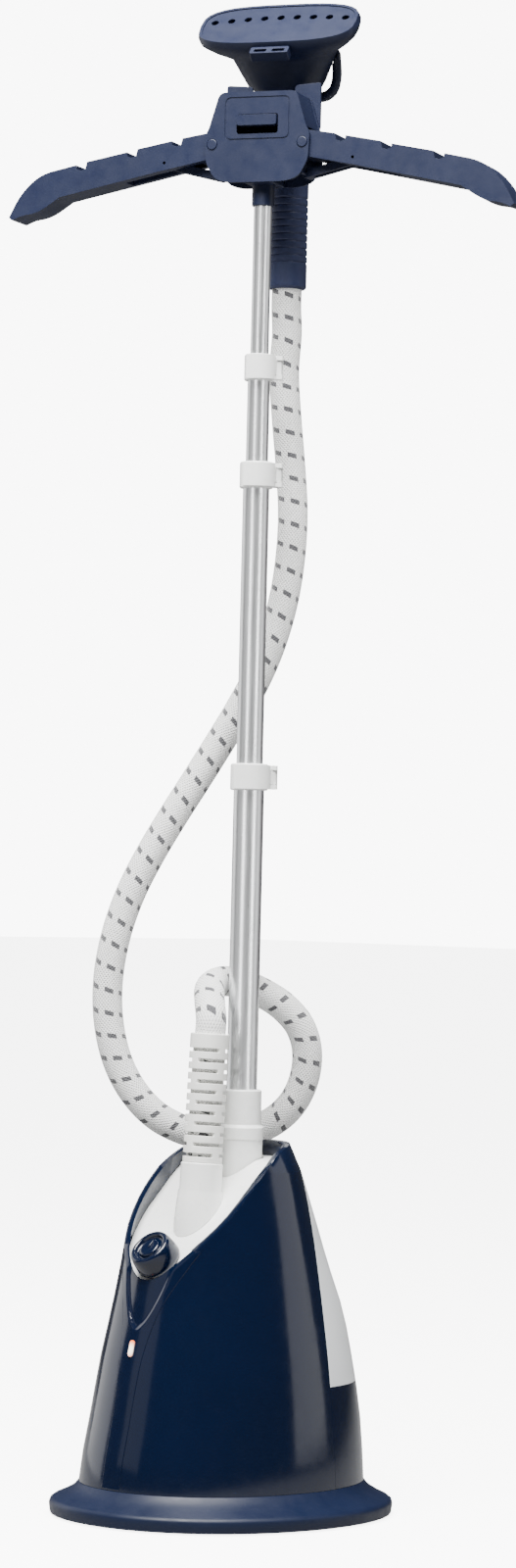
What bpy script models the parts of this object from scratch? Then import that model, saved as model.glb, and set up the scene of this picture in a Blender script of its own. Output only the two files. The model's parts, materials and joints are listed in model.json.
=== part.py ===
"""Garment steamer: base with tank, telescopic mast, folding hanger, steam head and hose."""
import math

import bpy
from mathutils import Matrix, Vector

# ---- driving sizes, metres -------------------------------------------------
body_width = 0.245          # body across, at the skirt
body_depth = 0.302          # body front to back, at the skirt
body_top = 0.366            # height of the arch behind the mast
skirt_width = 0.306
skirt_depth = 0.355
skirt_top = 0.033
foot_height = 0.006
wall = 0.0035               # navy shells
rim = 0.0075                # thickness of the rim round the white panel
rim_front = 0.0036          # the same at the panel's tip
panel_thickness = 0.0028
gap = 0.0003                # between pieces that touch
slide_play = 0.0003         # radial, between telescopic tubes
tank_wall = 0.0025
tank_bottom = 0.130
tank_top = 0.336
tank_front = 0.0366         # the tank is behind this Y

mast_y = 0.014
tube_diameters = (0.030, 0.026, 0.022, 0.018)
tube_wall = 0.0012
tube_tops = (0.722, 1.019, 1.125, 1.2965)
tube_length = 0.345
clamp_height = 0.026
socket_top = 0.413

hose_diameter = 0.030
sleeve_foot = Vector((0.0, -0.040, 0.3045))
sleeve_head = Vector((0.0, -0.031, 0.468))

hanger_turn = math.radians(25)
arm_pivot_side = 0.047
arm_pivot_height = 1.341
arm_span = 0.264
arm_depth = 0.038
cover_thickness = 0.0028
housing_front = 0.0225
housing_back = -0.0225

grip_back = 0.075           # grip axis behind the mast
grip_radius = 0.0195
grip_bottom = 1.2095
grip_top = 1.3795
plate_width = 0.157
plate_height = 0.0575
head_rim = 0.0050          # round the plate
plate_tilt = math.radians(45)
plate_centre = Vector((0.0016, 0.027, 1.4675))

navy = (0.010, 0.020, 0.055)
navy_soft = (0.030, 0.042, 0.080)
white = (0.80, 0.80, 0.78)

# ---- collections and materials ---------------------------------------------
for old in list(bpy.data.objects):
    bpy.data.objects.remove(old)
body_set = bpy.data.collections.new("garment_steamer")
cutter_set = bpy.data.collections.new("cutters")
bpy.context.scene.collection.children.link(body_set)
bpy.context.scene.collection.children.link(cutter_set)


def paint(obj, colour, roughness=0.4, metallic=0.0):
    mat = bpy.data.materials.new(obj.name)
    mat.use_nodes = True
    shader = mat.node_tree.nodes["Principled BSDF"]
    shader.inputs["Base Color"].default_value = (*colour, 1.0)
    shader.inputs["Roughness"].default_value = roughness
    shader.inputs["Metallic"].default_value = metallic
    obj.data.materials.clear()
    obj.data.materials.append(mat)
    return obj


def new_object(name, mesh, cutter=False):
    obj = bpy.data.objects.new(name, mesh)
    (cutter_set if cutter else body_set).objects.link(obj)
    if cutter:
        obj.hide_render = True
        obj.display_type = "WIRE"
    return obj


# ---- shape helpers ----------------------------------------------------------
def smooth_path(points, count):
    """Evenly counted points on a smooth curve through the route points."""
    pts = [Vector(p) for p in points]
    ends = [2 * pts[0] - pts[1]] + pts + [2 * pts[-1] - pts[-2]]
    result = []
    for i in range(count):
        at = i * (len(pts) - 1) / (count - 1)
        k = min(int(at), len(pts) - 2)
        t = at - k
        a, b, c, d = ends[k : k + 4]
        result.append(
            0.5 * (2 * b + (c - a) * t + (2 * a - 5 * b + 4 * c - d) * t * t
                   + (3 * b - a - 3 * c + d) * t ** 3)
        )
    return result


def rounded(points, radius, steps=3):
    """Outline with each corner replaced by an arc-like curve."""
    out = []
    for i, p in enumerate(points):
        p = Vector(p)
        before = Vector(points[i - 1])
        after = Vector(points[(i + 1) % len(points)])
        r = min(radius, (before - p).length * 0.45, (after - p).length * 0.45)
        start = p + (before - p).normalized() * r
        end = p + (after - p).normalized() * r
        for s in range(steps + 1):
            t = s / steps
            out.append((1 - t) ** 2 * start + 2 * t * (1 - t) * p + t * t * end)
    return out


def mesh_from_curve(curve, name):
    holder = bpy.data.objects.new(name + "_curve", curve)
    bpy.context.scene.collection.objects.link(holder)
    graph = bpy.context.evaluated_depsgraph_get()
    mesh = bpy.data.meshes.new_from_object(holder.evaluated_get(graph))
    bpy.data.objects.remove(holder)
    import bmesh

    bm = bmesh.new()
    bm.from_mesh(mesh)
    bmesh.ops.remove_doubles(bm, verts=bm.verts, dist=0.00001)
    bm.to_mesh(mesh)
    bm.free()
    mesh.name = name
    return mesh


AXES = {
    "z": Matrix.Identity(4),
    "y": Matrix(((1, 0, 0, 0), (0, 0, -1, 0), (0, 1, 0, 0), (0, 0, 0, 1))),
    "x": Matrix(((0, 0, 1, 0), (1, 0, 0, 0), (0, 1, 0, 0), (0, 0, 0, 1))),
}


def prism(name, outline, axis, low, high, cutter=False, holes=()):
    """Flat outline pushed along an axis: z takes (x, y), y takes (x, z), x takes (y, z)."""
    curve = bpy.data.curves.new(name, "CURVE")
    curve.dimensions = "2D"
    curve.fill_mode = "BOTH"
    for loop in (outline, *holes):
        spline = curve.splines.new("POLY")
        spline.points.add(len(loop) - 1)
        for point, at in zip(spline.points, loop):
            point.co = (at[0], at[1], 0, 1)
        spline.use_cyclic_u = True
    curve.extrude = abs(high - low) / 2
    mesh = mesh_from_curve(curve, name)
    middle = (low + high) / 2
    mesh.transform(AXES[axis])
    shift = {"x": (middle, 0, 0), "y": (0, middle, 0), "z": (0, 0, middle)}[axis]
    mesh.transform(Matrix.Translation(shift))
    return new_object(name, mesh, cutter)


def box(name, low, high, cutter=False):
    outline = [(low[0], low[1]), (high[0], low[1]), (high[0], high[1]), (low[0], high[1])]
    return prism(name, outline, "z", low[2], high[2], cutter)


def lathe(name, profile, steps=32, closed=False, cutter=False):
    """Turned body: profile of (radius, height) from the top down, outside first."""
    mesh = bpy.data.meshes.new(name)
    edges = [(i, i + 1) for i in range(len(profile) - 1)]
    if closed:
        edges.append((len(profile) - 1, 0))
    mesh.from_pydata([(r, 0, z) for r, z in profile], edges, [])
    obj = new_object(name, mesh, cutter)
    turn = obj.modifiers.new("turn", "SCREW")
    turn.steps = steps
    turn.render_steps = steps
    turn.use_merge_vertices = True
    turn.merge_threshold = 0.00001
    turn.use_smooth_shade = True
    return obj


def ring(name, outer, inner, bottom, top, steps=28, edge=0.0, cutter=False):
    """Tube with small chamfers on the outer edges."""
    e = edge
    profile = [(outer - e, top), (outer, top - e), (outer, bottom + e), (outer - e, bottom),
               (inner, bottom), (inner, top)]
    if e == 0:
        profile = [(outer, top), (outer, bottom), (inner, bottom), (inner, top)]
    return lathe(name, profile, steps, True, cutter)


def rod(name, radius, bottom, top, steps=24, edge=0.0, cutter=False):
    profile = [(0, top), (radius, top), (radius, bottom), (0, bottom)]
    if edge:
        profile = [(0, top), (radius - edge, top), (radius, top - edge),
                   (radius, bottom + edge), (radius - edge, bottom), (0, bottom)]
    return lathe(name, profile, steps, False, cutter)


def loft(name, rings, cutter=False):
    """Closed skin through equal rings of points, bottom ring first."""
    mesh = bpy.data.meshes.new(name)
    count = len(rings[0])
    points = [p for r in rings for p in r]
    faces = [tuple(reversed(range(count)))]
    for k in range(len(rings) - 1):
        for i in range(count):
            j = (i + 1) % count
            faces.append((k * count + i, k * count + j, (k + 1) * count + j, (k + 1) * count + i))
    faces.append(tuple(range((len(rings) - 1) * count, len(rings) * count)))
    mesh.from_pydata(points, [], faces)
    return new_object(name, mesh, cutter)


def boolean(obj, tool, kind="DIFFERENCE"):
    mod = obj.modifiers.new(kind.lower() + "_" + tool.name, "BOOLEAN")
    mod.operation = kind
    mod.solver = "EXACT"
    mod.object = tool
    return obj


def cut(obj, *tools):
    for tool in tools:
        boolean(obj, tool)
    return obj


def keep(obj, *tools):
    for tool in tools:
        boolean(obj, tool, "INTERSECT")
    return obj


def bevel(obj, width, segments=2, angle=40):
    mod = obj.modifiers.new("soft_edges", "BEVEL")
    mod.width = width
    mod.segments = segments
    mod.limit_method = "ANGLE"
    mod.angle_limit = math.radians(angle)
    mod.use_clamp_overlap = True
    return obj


def seat(obj, at, turn=None):
    """Puts an object at a place with an optional rotation matrix."""
    obj.matrix_world = Matrix.Translation(at) @ (turn or Matrix.Identity(4))
    return obj


def along(direction):
    """Rotation that takes +Z to the direction."""
    return Vector(direction).normalized().to_track_quat("Z", "Y").to_matrix().to_4x4()


HANGER = Matrix.Rotation(hanger_turn, 4, "Z")


def hang(point):
    """A point of the hanger (right, back, height from the mast axis) in the part frame."""
    return Vector((0, mast_y, 0)) + HANGER @ Vector(point)


def seat_on_hanger(obj, point, turn=None):
    return seat(obj, hang(point), HANGER @ (turn or Matrix.Identity(4)))


# ---- base: the body form ----------------------------------------------------
# height share, half width, front depth, rear depth (shares of the half sizes at the skirt)
body_form = (
    (0.00, 1.000, 1.000, 1.000), (0.08, 0.985, 0.975, 0.990), (0.20, 0.947, 0.920, 0.970),
    (0.35, 0.895, 0.862, 0.905), (0.50, 0.825, 0.788, 0.820), (0.65, 0.755, 0.728, 0.662),
    (0.80, 0.680, 0.692, 0.520), (0.90, 0.620, 0.668, 0.425), (0.96, 0.575, 0.640, 0.385),
    (1.00, 0.500, 0.580, 0.335),
)
body_fullness = 2.08
body_height = body_top - skirt_top


def form_at(share):
    """Half width, front and rear depth of the body at a share of its height."""
    at = 0
    while at < len(body_form) - 2 and body_form[at + 1][0] < share:
        at += 1
    low, high = body_form[at], body_form[at + 1]
    before = body_form[max(at - 1, 0)]
    after = body_form[min(at + 2, len(body_form) - 1)]
    span = high[0] - low[0]
    t = (share - low[0]) / span
    values = []
    for k in (1, 2, 3):
        m0 = (high[k] - before[k]) / (high[0] - before[0]) * span
        m1 = (after[k] - low[k]) / (after[0] - low[0]) * span
        values.append((2 * t ** 3 - 3 * t * t + 1) * low[k] + (t ** 3 - 2 * t * t + t) * m0
                      + (-2 * t ** 3 + 3 * t * t) * high[k] + (t ** 3 - t * t) * m1)
    half = (body_width / 2, body_depth / 2, body_depth / 2)
    return [v * h for v, h in zip(values, half)]


def oval(half_width, front, rear, height, count=48):
    points = []
    for i in range(count):
        a = 2 * math.pi * i / count
        c, s = math.cos(a), math.sin(a)
        x = half_width * math.copysign(abs(c) ** (2 / body_fullness), c)
        y = (rear if s > 0 else front) * math.copysign(abs(s) ** (2 / body_fullness), s)
        points.append((x, y, height))
    return points


def body_solid(name, inset, bottom=skirt_top, top=body_top, levels=12, cutter=True,
               front_inset=None):
    """The body form pulled in by an inset, between two heights."""
    if front_inset is None:
        front_inset = inset
    rings = []
    for i in range(levels):
        z = bottom + (top - bottom) * i / (levels - 1)
        share = min(max((z - skirt_top) / body_height, 0.0), 1.0)
        half_width, front, rear = form_at(share)
        rings.append(oval(half_width - inset, front - front_inset, rear - inset, z))
    return loft(name, rings, cutter)


# side view curves (Y, height): the rim crest, and the white panel's surface
crest_route = ((-0.230, 0.150), (-0.150, 0.196), (-0.1175, 0.2215), (-0.103, 0.246),
               (-0.087, 0.268), (-0.066, 0.292), (-0.041, 0.320), (-0.017, 0.342),
               (0.006, 0.356), (0.035, 0.3625), (0.080, 0.364), (0.150, 0.364))
panel_route = ((-0.230, 0.120), (-0.150, 0.182), (-0.116, 0.2165), (-0.101, 0.2365),
               (-0.082, 0.2560), (-0.062, 0.2745), (-0.043, 0.2930), (-0.024, 0.3110),
               (-0.008, 0.3290), (0.006, 0.3410), (0.020, 0.3460), (0.060, 0.3475),
               (0.150, 0.3475))


def side_curve(route, drop=0.0, count=31):
    """The side view curve, moved down its own normal."""
    line = [Vector((p[0], p[1])) for p in smooth_path([(*r, 0) for r in route], count)]
    if drop == 0:
        return line
    moved = []
    for i, p in enumerate(line):
        along_line = line[min(i + 1, count - 1)] - line[max(i - 1, 0)]
        normal = Vector((-along_line.y, along_line.x)).normalized()
        moved.append(p - normal * drop)
    return moved


def above(name, route, drop=0.0):
    """Everything over a side view curve."""
    line = side_curve(route, drop)
    outline = [(p.x, p.y) for p in line] + [(0.16, 0.48), (-0.24, 0.48)]
    return prism(name, outline, "x", -0.2, 0.2, True)


def below(name, route, drop=0.0):
    line = side_curve(route, drop)
    outline = [(p.x, p.y) for p in reversed(line)] + [(-0.24, -0.05), (0.16, -0.05)]
    return prism(name, outline, "x", -0.2, 0.2, True)


over_crest = above("over_crest", crest_route)
over_panel = above("over_panel", panel_route, panel_thickness + gap)
under_panel = below("under_panel", panel_route, panel_thickness + gap - 0.0008)
rim_inside = keep(body_solid("rim_inside", rim, 0.18, body_top, 9, True, rim_front),
                  over_panel)
void_inside = keep(body_solid("void_inside", wall, skirt_top - 0.0001, 0.350, 11), under_panel)

# column outline seen from the front: narrow at the foot, opening round the panel's tip
column_route = ((0.0120, 0.020), (0.0122, 0.070), (0.0130, 0.120), (0.0155, 0.160),
                (0.0210, 0.190), (0.0300, 0.215), (0.0420, 0.238), (0.0540, 0.262))


def column_outline(grow=0.0):
    side = [(p.x + grow, p.y) for p in smooth_path([(*r, 0) for r in column_route], 22)]
    side[-1] = (side[-1][0], side[-1][1] + grow)
    return side + [(-x, z) for x, z in reversed(side)]


column_zone = prism("column_zone", column_outline(), "y", -0.24, -0.03, True)
column_gap = prism("column_gap", column_outline(gap), "y", -0.24, -0.03, True)

mast_bore = rod("mast_bore", 0.0235, 0.20, 0.45, 40, cutter=True)
mast_bore.location = (0, mast_y, 0)


knob_out = Vector((0.0, -0.72, 0.694)).normalized()
knob_spot = Vector((0.0, -0.0905, 0.2475))
knob_turn = along(knob_out)
knob_radius = 0.0228
knob_well = rod("knob_well", knob_radius + 0.0022, 0.0010, 0.05, 28, cutter=True)
seat(knob_well, knob_spot, knob_turn)


def shell(name):
    """Body shell before it is split: form, less crest, rim recess and inner room."""
    obj = body_solid(name, 0.0, cutter=False)
    return cut(obj, over_crest, rim_inside, void_inside, mast_bore, knob_well)


def side_shell(name, side):
    obj = shell(name)
    reach = 0.3
    if side > 0:
        other = box(name + "_other_side", (-reach, -reach, -0.1), (gap / 2, reach, 0.5), True)
    else:
        other = box(name + "_other_side", (-gap / 2, -reach, -0.1), (reach, reach, 0.5), True)
    rear = box(name + "_rear", (-reach, tank_front - gap / 2, -0.1), (reach, reach, 0.5), True)
    cut(obj, other, rear, column_gap)
    return paint(obj, navy, 0.12)


side_shell("side_shell_right", 1)
side_shell("side_shell_left", -1)

front_column = shell("front_column")
keep(front_column, column_zone)
lamp_spot = Vector((0.0, -0.1272, 0.1675))
lamp_out = Vector((0.0, -0.975, 0.222))
lamp_turn = along(lamp_out)


def slot_outline(half_width, half_length, steps=6):
    """Rounded slot, long way along the second axis."""
    straight = half_length - half_width
    points = []
    for i in range(steps + 1):
        a = math.pi * i / steps
        points.append((half_width * math.cos(a), straight + half_width * math.sin(a)))
    for i in range(steps + 1):
        a = math.pi + math.pi * i / steps
        points.append((half_width * math.cos(a), -straight + half_width * math.sin(a)))
    return points


lamp_hole = prism("lamp_hole", slot_outline(0.0042, 0.0112), "z", -0.02, 0.02, True)
seat(lamp_hole, lamp_spot, lamp_turn)
cut(front_column, lamp_hole)
paint(front_column, navy, 0.12)

indicator_lens = prism("indicator_lens", slot_outline(0.0042 - gap, 0.0112 - gap), "z",
                       -0.0055, 0.0010)
bevel(indicator_lens, 0.0006)
seat(indicator_lens, lamp_spot, lamp_turn)
paint(indicator_lens, (0.9, 0.35, 0.05), 0.2)

rear_shell = body_solid("rear_shell", 0.0, cutter=False)
reach = 0.3
front_half = box("front_half", (-reach, -reach, -0.1), (reach, tank_front + gap / 2, 0.5), True)
over_shelf = box("over_shelf", (-reach, -reach, tank_bottom - gap), (reach, reach, 0.5), True)
rear_room = body_solid("rear_room", wall, skirt_top - 0.0001, tank_bottom - 0.0035, 8)
cut(rear_shell, rear_room, front_half, over_shelf)
cord_hole = rod("cord_hole", 0.0075, 0.0, 0.4, 24, cutter=True)
seat(cord_hole, (-0.045, 0.0, 0.058), along((0, 1, 0)))
cut(rear_shell, cord_hole)
valve_spot = (0.0, 0.070)
valve_hole = rod("valve_hole", 0.0125, 0.1, 0.2, 28, cutter=True)
valve_hole.location = (*valve_spot, 0)
cut(rear_shell, valve_hole)
paint(rear_shell, navy, 0.12)

top_bridge = body_solid("top_bridge", 0.0, cutter=False)
under_bridge = box("under_bridge", (-reach, -reach, -0.1), (reach, reach, tank_top + gap), True)
cut(top_bridge, over_crest, rim_inside, front_half, under_bridge, mast_bore)
paint(top_bridge, navy, 0.12)

# ---- white front panel ------------------------------------------------------
line_top = side_curve(panel_route)
line_low = side_curve(panel_route, panel_thickness)
panel_outline = [(p.x, p.y) for p in line_top] + [(p.x, p.y) for p in reversed(line_low)]
front_panel = prism("front_panel", panel_outline, "x", -0.12, 0.12)
panel_room = body_solid("panel_room", rim + gap, 0.18, body_top, 9, True, rim_front + gap)
keep(front_panel, panel_room)
sleeve_axis = (sleeve_head - sleeve_foot).normalized()
sleeve_turn = along(sleeve_axis)
cuff_hole = rod("cuff_hole", 0.0185, -0.05, 0.05, 36, cutter=True)
seat(cuff_hole, sleeve_foot, sleeve_turn)
knob_hole = rod("knob_hole", 0.0062, -0.02, 0.02, 24, cutter=True)
seat(knob_hole, knob_spot, knob_turn)
cut(front_panel, mast_bore, cuff_hole, knob_hole)
paint(front_panel, white, 0.35)

# ---- knob and shaft ---------------------------------------------------------
control_knob = lathe("control_knob", [
    (0, 0.0232), (0.0135, 0.0232), (0.0142, 0.0240), (0.0165, 0.0240), (0.0185, 0.0222),
    (0.0200, 0.0170), (knob_radius - 0.0004, 0.0060), (knob_radius, 0.0030),
    (knob_radius - 0.0006, 0.0020), (0.0160, 0.0020), (0.0160, 0.0035), (0.0052, 0.0035),
    (0.0052, 0.0130), (0, 0.0130)], 26)
seat(control_knob, knob_spot, knob_turn)
pointer = prism("knob_pointer_cut", slot_outline(0.0011, 0.0040), "z", 0.0226, 0.03, True)
pointer.data.transform(Matrix.Translation((0, 0.0088, 0)))
pointer.parent = control_knob
cut(control_knob, pointer)
paint(control_knob, navy_soft, 0.3)

knob_shaft = lathe("knob_shaft", [
    (0, 0.0127), (0.0049, 0.0127), (0.0049, -0.0080), (0.0150, -0.0080), (0.0158, -0.0088),
    (0.0158, -0.0230), (0, -0.0230)], 22)
seat(knob_shaft, knob_spot, knob_turn)
paint(knob_shaft, (0.6, 0.6, 0.6), 0.4, 0.8)

# ---- skirt, bottom plate, feet ----------------------------------------------
skirt_half = (skirt_width / 2, skirt_depth / 2)
skirt_form = (  # height share of the skirt, share of the way from the body edge to the rim
    (0.00, 0.950), (0.08, 0.990), (0.22, 1.000), (0.32, 0.965), (0.40, 0.860), (0.52, 0.600),
    (0.66, 0.360), (0.82, 0.150), (1.00, 0.020),
)
rings = []
for height_share, out_share in skirt_form:
    z = foot_height + (skirt_top - gap - foot_height) * height_share
    half_width = body_width / 2 + (skirt_half[0] - body_width / 2) * out_share
    half_depth = body_depth / 2 + (skirt_half[1] - body_depth / 2) * out_share
    rings.append(oval(half_width, half_depth, half_depth, z))
base_skirt = loft("base_skirt", rings)
skirt_room_rings = []
for z, inset in ((foot_height - 0.001, 0.012), (skirt_top - 0.0075, 0.028)):
    skirt_room_rings.append(oval(skirt_half[0] - inset, skirt_half[1] - inset,
                                 skirt_half[1] - inset, z))
skirt_room = loft("skirt_room", skirt_room_rings, True)
cut(base_skirt, skirt_room)
paint(base_skirt, navy, 0.14)

plate_top = foot_height + 0.0028
bottom_plate = loft("bottom_plate", [
    oval(skirt_half[0] - 0.0135, skirt_half[1] - 0.0135, skirt_half[1] - 0.0135, foot_height),
    oval(skirt_half[0] - 0.0165, skirt_half[1] - 0.0165, skirt_half[1] - 0.0165, plate_top)])
paint(bottom_plate, (0.03, 0.03, 0.035), 0.6)
foot_radius = 0.012
for word, sx, sy in (("front_right", 1, -1), ("front_left", -1, -1), ("rear_right", 1, 1),
                     ("rear_left", -1, 1)):
    foot = rod("foot_" + word, foot_radius, 0.0, foot_height - gap, 16, 0.0012)
    foot.location = (sx * skirt_half[0] * 0.58, sy * skirt_half[1] * 0.62, 0)
    paint(foot, (0.02, 0.02, 0.02), 0.85)

# ---- tank --------------------------------------------------------------------
water_tank = body_solid("water_tank", 0.0, tank_bottom, tank_top, 9, False)
tank_room = body_solid("tank_room", tank_wall, tank_bottom + tank_wall, tank_top - tank_wall, 8)
room_front = box("room_front", (-reach, -reach, -0.1),
                 (reach, tank_front + gap / 2 + tank_wall, 0.5), True)
cut(tank_room, room_front)
cut(water_tank, front_half)
fill_hole = rod("fill_hole", 0.0100, 0.09, tank_bottom + 0.01, 28, cutter=True)
fill_hole.location = (*valve_spot, 0)
cut(water_tank, tank_room, fill_hole)
paint(water_tank, (0.78, 0.80, 0.82), 0.45)

tank_cap = lathe("tank_cap", [
    (0.0045, tank_bottom + 0.0085), (0.0092, tank_bottom + 0.0085), (0.0097, tank_bottom + 0.0080),
    (0.0097, tank_bottom + 0.0004), (0.0045, tank_bottom + 0.0004)], 20, True)
tank_cap.location = (*valve_spot, 0)
paint(tank_cap, navy, 0.4)

tank_valve = lathe("tank_valve", [
    (0.0042, 0.1290), (0.0042, 0.1160), (0.0110, 0.1160), (0.0110, 0.1080), (0.0030, 0.1080),
    (0.0030, 0.1000), (0.0018, 0.1000), (0.0018, 0.1290)], 18, True)
tank_valve.location = (*valve_spot, 0)
paint(tank_valve, (0.75, 0.75, 0.75), 0.5)

# ---- inside the base ----------------------------------------------------------
bay_wall = prism("tank_bay_wall", [(-0.2, skirt_top + 0.001), (0.2, skirt_top + 0.001),
                                   (0.2, 0.336), (-0.2, 0.336)], "y",
                 tank_front - 0.0032, tank_front - gap)
bay_room = body_solid("bay_room", wall + gap, skirt_top - 0.001, 0.3365, 10)
pipe_slot = box("pipe_slot", (-0.006, 0.0, 0.075), (0.006, 0.06, 0.100), True)
keep(bay_wall, bay_room)
cut(bay_wall, pipe_slot)
paint(bay_wall, navy, 0.5)

tube_radii = [d / 2 for d in tube_diameters]
mast_foot = 0.300
mount_profile = [(0.0190, 0.3400), (0.0190, 0.0335), (0.0060, 0.0335), (0.0060, mast_foot - gap), (tube_radii[0] + gap, mast_foot - gap),
                 (tube_radii[0] + gap, 0.3400)]
mast_mount = lathe("mast_mount", mount_profile, 24, True)
mast_mount.location = (0, mast_y, 0)
paint(mast_mount, (0.06, 0.06, 0.07), 0.6)

boiler = lathe("boiler", [
    (0.0045, 0.150), (0.0300, 0.150), (0.0380, 0.144), (0.0420, 0.134), (0.0420, 0.062),
    (0.0380, 0.053), (0.0300, 0.048), (0.0045, 0.048)], 20, True)
boiler.location = (0, -0.070, 0)
paint(boiler, (0.6, 0.6, 0.62), 0.3, 1.0)


def tube(name, route, radius, count, resolution=3, hole=0.0):
    """Filled tube along a smooth curve through the route points."""
    curve = bpy.data.curves.new(name, "CURVE")
    curve.dimensions = "3D"
    curve.bevel_depth = radius
    curve.bevel_resolution = resolution
    curve.use_fill_caps = True
    spline = curve.splines.new("POLY")
    points = smooth_path(route, count) if count else [Vector(p) for p in route]
    spline.points.add(len(points) - 1)
    for point, at in zip(spline.points, points):
        point.co = (*at, 1)
    return new_object(name, mesh_from_curve(curve, name))


steam_pipe = tube("steam_pipe", [(0, -0.070, 0.1505), (0, -0.070, 0.180), (0, -0.068, 0.210),
                                 (0, -0.055, 0.240), (0, -0.0450, 0.262), (0, -0.0425, 0.280)],
                  0.0040, 16, 2)
paint(steam_pipe, (0.7, 0.7, 0.7), 0.3, 1.0)
water_pipe = tube("water_pipe", [(0, 0.0700, 0.0995), (0, 0.070, 0.090), (0.001, 0.064, 0.0852),
                                 (0.008, 0.050, 0.0850), (0.0285, 0.030, 0.0850),
                                 (0.0330, 0.010, 0.0850), (0.0300, -0.015, 0.0850),
                                 (0.0200, -0.0285, 0.0850)], 0.0035, 20, 2)
pipe_pass = box("pipe_pass", (0.0150, 0.0, 0.078), (0.0400, 0.06, 0.092), True)
cut(bay_wall, pipe_pass)
paint(water_pipe, (0.7, 0.7, 0.7), 0.5)

cord_gland = lathe("cord_gland", [
    (0.0040, 0.0090), (0.0095, 0.0090), (0.0110, 0.0075), (0.0110, 0.0003), (0.0072, 0.0003),
    (0.0072, -0.0120), (0.0040, -0.0120)], 20, True)
gland_share = (0.058 - skirt_top) / body_height
gland_form = form_at(gland_share)
gland_y = gland_form[2] * (1 - (0.045 / gland_form[0]) ** body_fullness) ** (1 / body_fullness)
seat(cord_gland, (-0.045, gland_y + 0.0040, 0.058), along((0, 1, 0)))
paint(cord_gland, (0.03, 0.03, 0.035), 0.6)

# ---- hose cuff, ribbed sleeve ------------------------------------------------
hose_radius = hose_diameter / 2
cuff_top = 0.038
hose_cuff = lathe("hose_cuff", [
    (0.0165, cuff_top), (0.0198, cuff_top), (0.0206, cuff_top - 0.0010), (0.0206, 0.0120),
    (0.0218, 0.0100), (0.0240, -0.0160), (0.0240, -0.0380), (0.0165, -0.0380)], 26, True)
seat(hose_cuff, sleeve_foot, sleeve_turn)
cuff_trim = above("cuff_trim", panel_route, -gap)
under_cuff = below("under_cuff", panel_route, -gap)
cut(hose_cuff, under_cuff)
paint(hose_cuff, white, 0.35)

hose_collar = lathe("hose_inlet", [
    (0.0158, 0.0320), (0.0163, 0.0320), (0.0163, -0.0190), (0.0150, -0.0230),
    (0.0045, -0.0230), (0.0045, -0.0190), (0.0158, -0.0150)], 18, True)
seat(hose_collar, sleeve_foot, sleeve_turn)
paint(hose_collar, (0.1, 0.1, 0.1), 0.5)

sleeve_length = (sleeve_head - sleeve_foot).length
sleeve_outer = 0.0193
sleeve_inner = hose_radius + gap
sleeve_low = cuff_top + gap
rib_pitch = 0.0102
rib_count = int((sleeve_length - sleeve_low - 0.006) / rib_pitch)
profile = [(sleeve_outer - 0.0008, sleeve_length)]
profile.append((sleeve_outer, sleeve_length - 0.0008))
profile.append((sleeve_outer, sleeve_low))
profile.append((sleeve_inner, sleeve_low))
profile.append((sleeve_inner, sleeve_length))
hose_sleeve = lathe("hose_sleeve", profile, 18, True)
seat(hose_sleeve, sleeve_foot, sleeve_turn)
slot_boxes = []
for k in range(rib_count):
    z = sleeve_low + 0.0055 + rib_pitch * k
    turn = Matrix.Rotation(math.pi / 2 * (k % 2), 4, "Z")
    for side in (-1, 1):
        low = Vector((-0.03, 0.0042 if side > 0 else -0.03, z))
        high = Vector((0.03, 0.03 if side > 0 else -0.0042, z + 0.0034))
        corners = [(x, y, h) for x in (low.x, high.x) for y in (low.y, high.y)
                   for h in (low.z, high.z)]
        slot_boxes.append([turn @ Vector(c) for c in corners])
points = []
faces = []
for corners in slot_boxes:
    base = len(points)
    points += corners
    for face in ((0, 1, 3, 2), (4, 6, 7, 5), (0, 4, 5, 1), (2, 3, 7, 6), (0, 2, 6, 4),
                 (1, 5, 7, 3)):
        faces.append(tuple(base + i for i in face))
slot_mesh = bpy.data.meshes.new("sleeve_slots")
slot_mesh.from_pydata(points, [], faces)
sleeve_slots = new_object("sleeve_slots", slot_mesh, True)
sleeve_slots.parent = hose_sleeve
cut(hose_sleeve, sleeve_slots)
paint(hose_sleeve, white, 0.45)

# ---- mast ----------------------------------------------------------------------
mast_socket = lathe("mast_socket", [
    (tube_radii[0] + gap, socket_top), (0.0185, socket_top), (0.0197, socket_top - 0.0012),
    (0.0200, 0.3790), (0.0212, 0.3775), (0.0228, 0.3760), (0.0228, 0.3650), (0.0218, 0.3635),
    (0.0218, 0.3205), (0.0194, 0.3205), (0.0194, 0.3405), (tube_radii[0] + gap, 0.3405)],
    26, True)
mast_socket.location = (0, mast_y, 0)
socket_flat = box("socket_flat", (-0.05, tank_front - 0.0035, 0.30), (0.05, 0.06, 0.3366), True)
cut(mast_socket, socket_flat)
paint(mast_socket, white, 0.35)

tube_bottoms = [mast_foot] + [t - tube_length for t in tube_tops[1:]]
foot_length = 0.020         # swollen foot that guides each inner tube
for k in range(4):
    outer = tube_radii[k]
    foot = tube_radii[k - 1] - tube_wall - slide_play if k else outer
    top, bottom = tube_tops[k], tube_bottoms[k]
    profile = [(outer - tube_wall, top), (outer - 0.0002, top), (outer, top - 0.0002)]
    if k:
        profile += [(outer, bottom + foot_length + 0.0020), (foot, bottom + foot_length)]
    profile += [(foot, bottom), (outer - tube_wall, bottom)]
    obj = lathe("mast_tube_" + str(k + 1), profile, 24, True)
    obj.location = (0, mast_y, 0)
    paint(obj, (0.75, 0.75, 0.75), 0.25, 1.0)

clamp_turn = math.radians(-45)      # the lugs point this way round the mast


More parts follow.
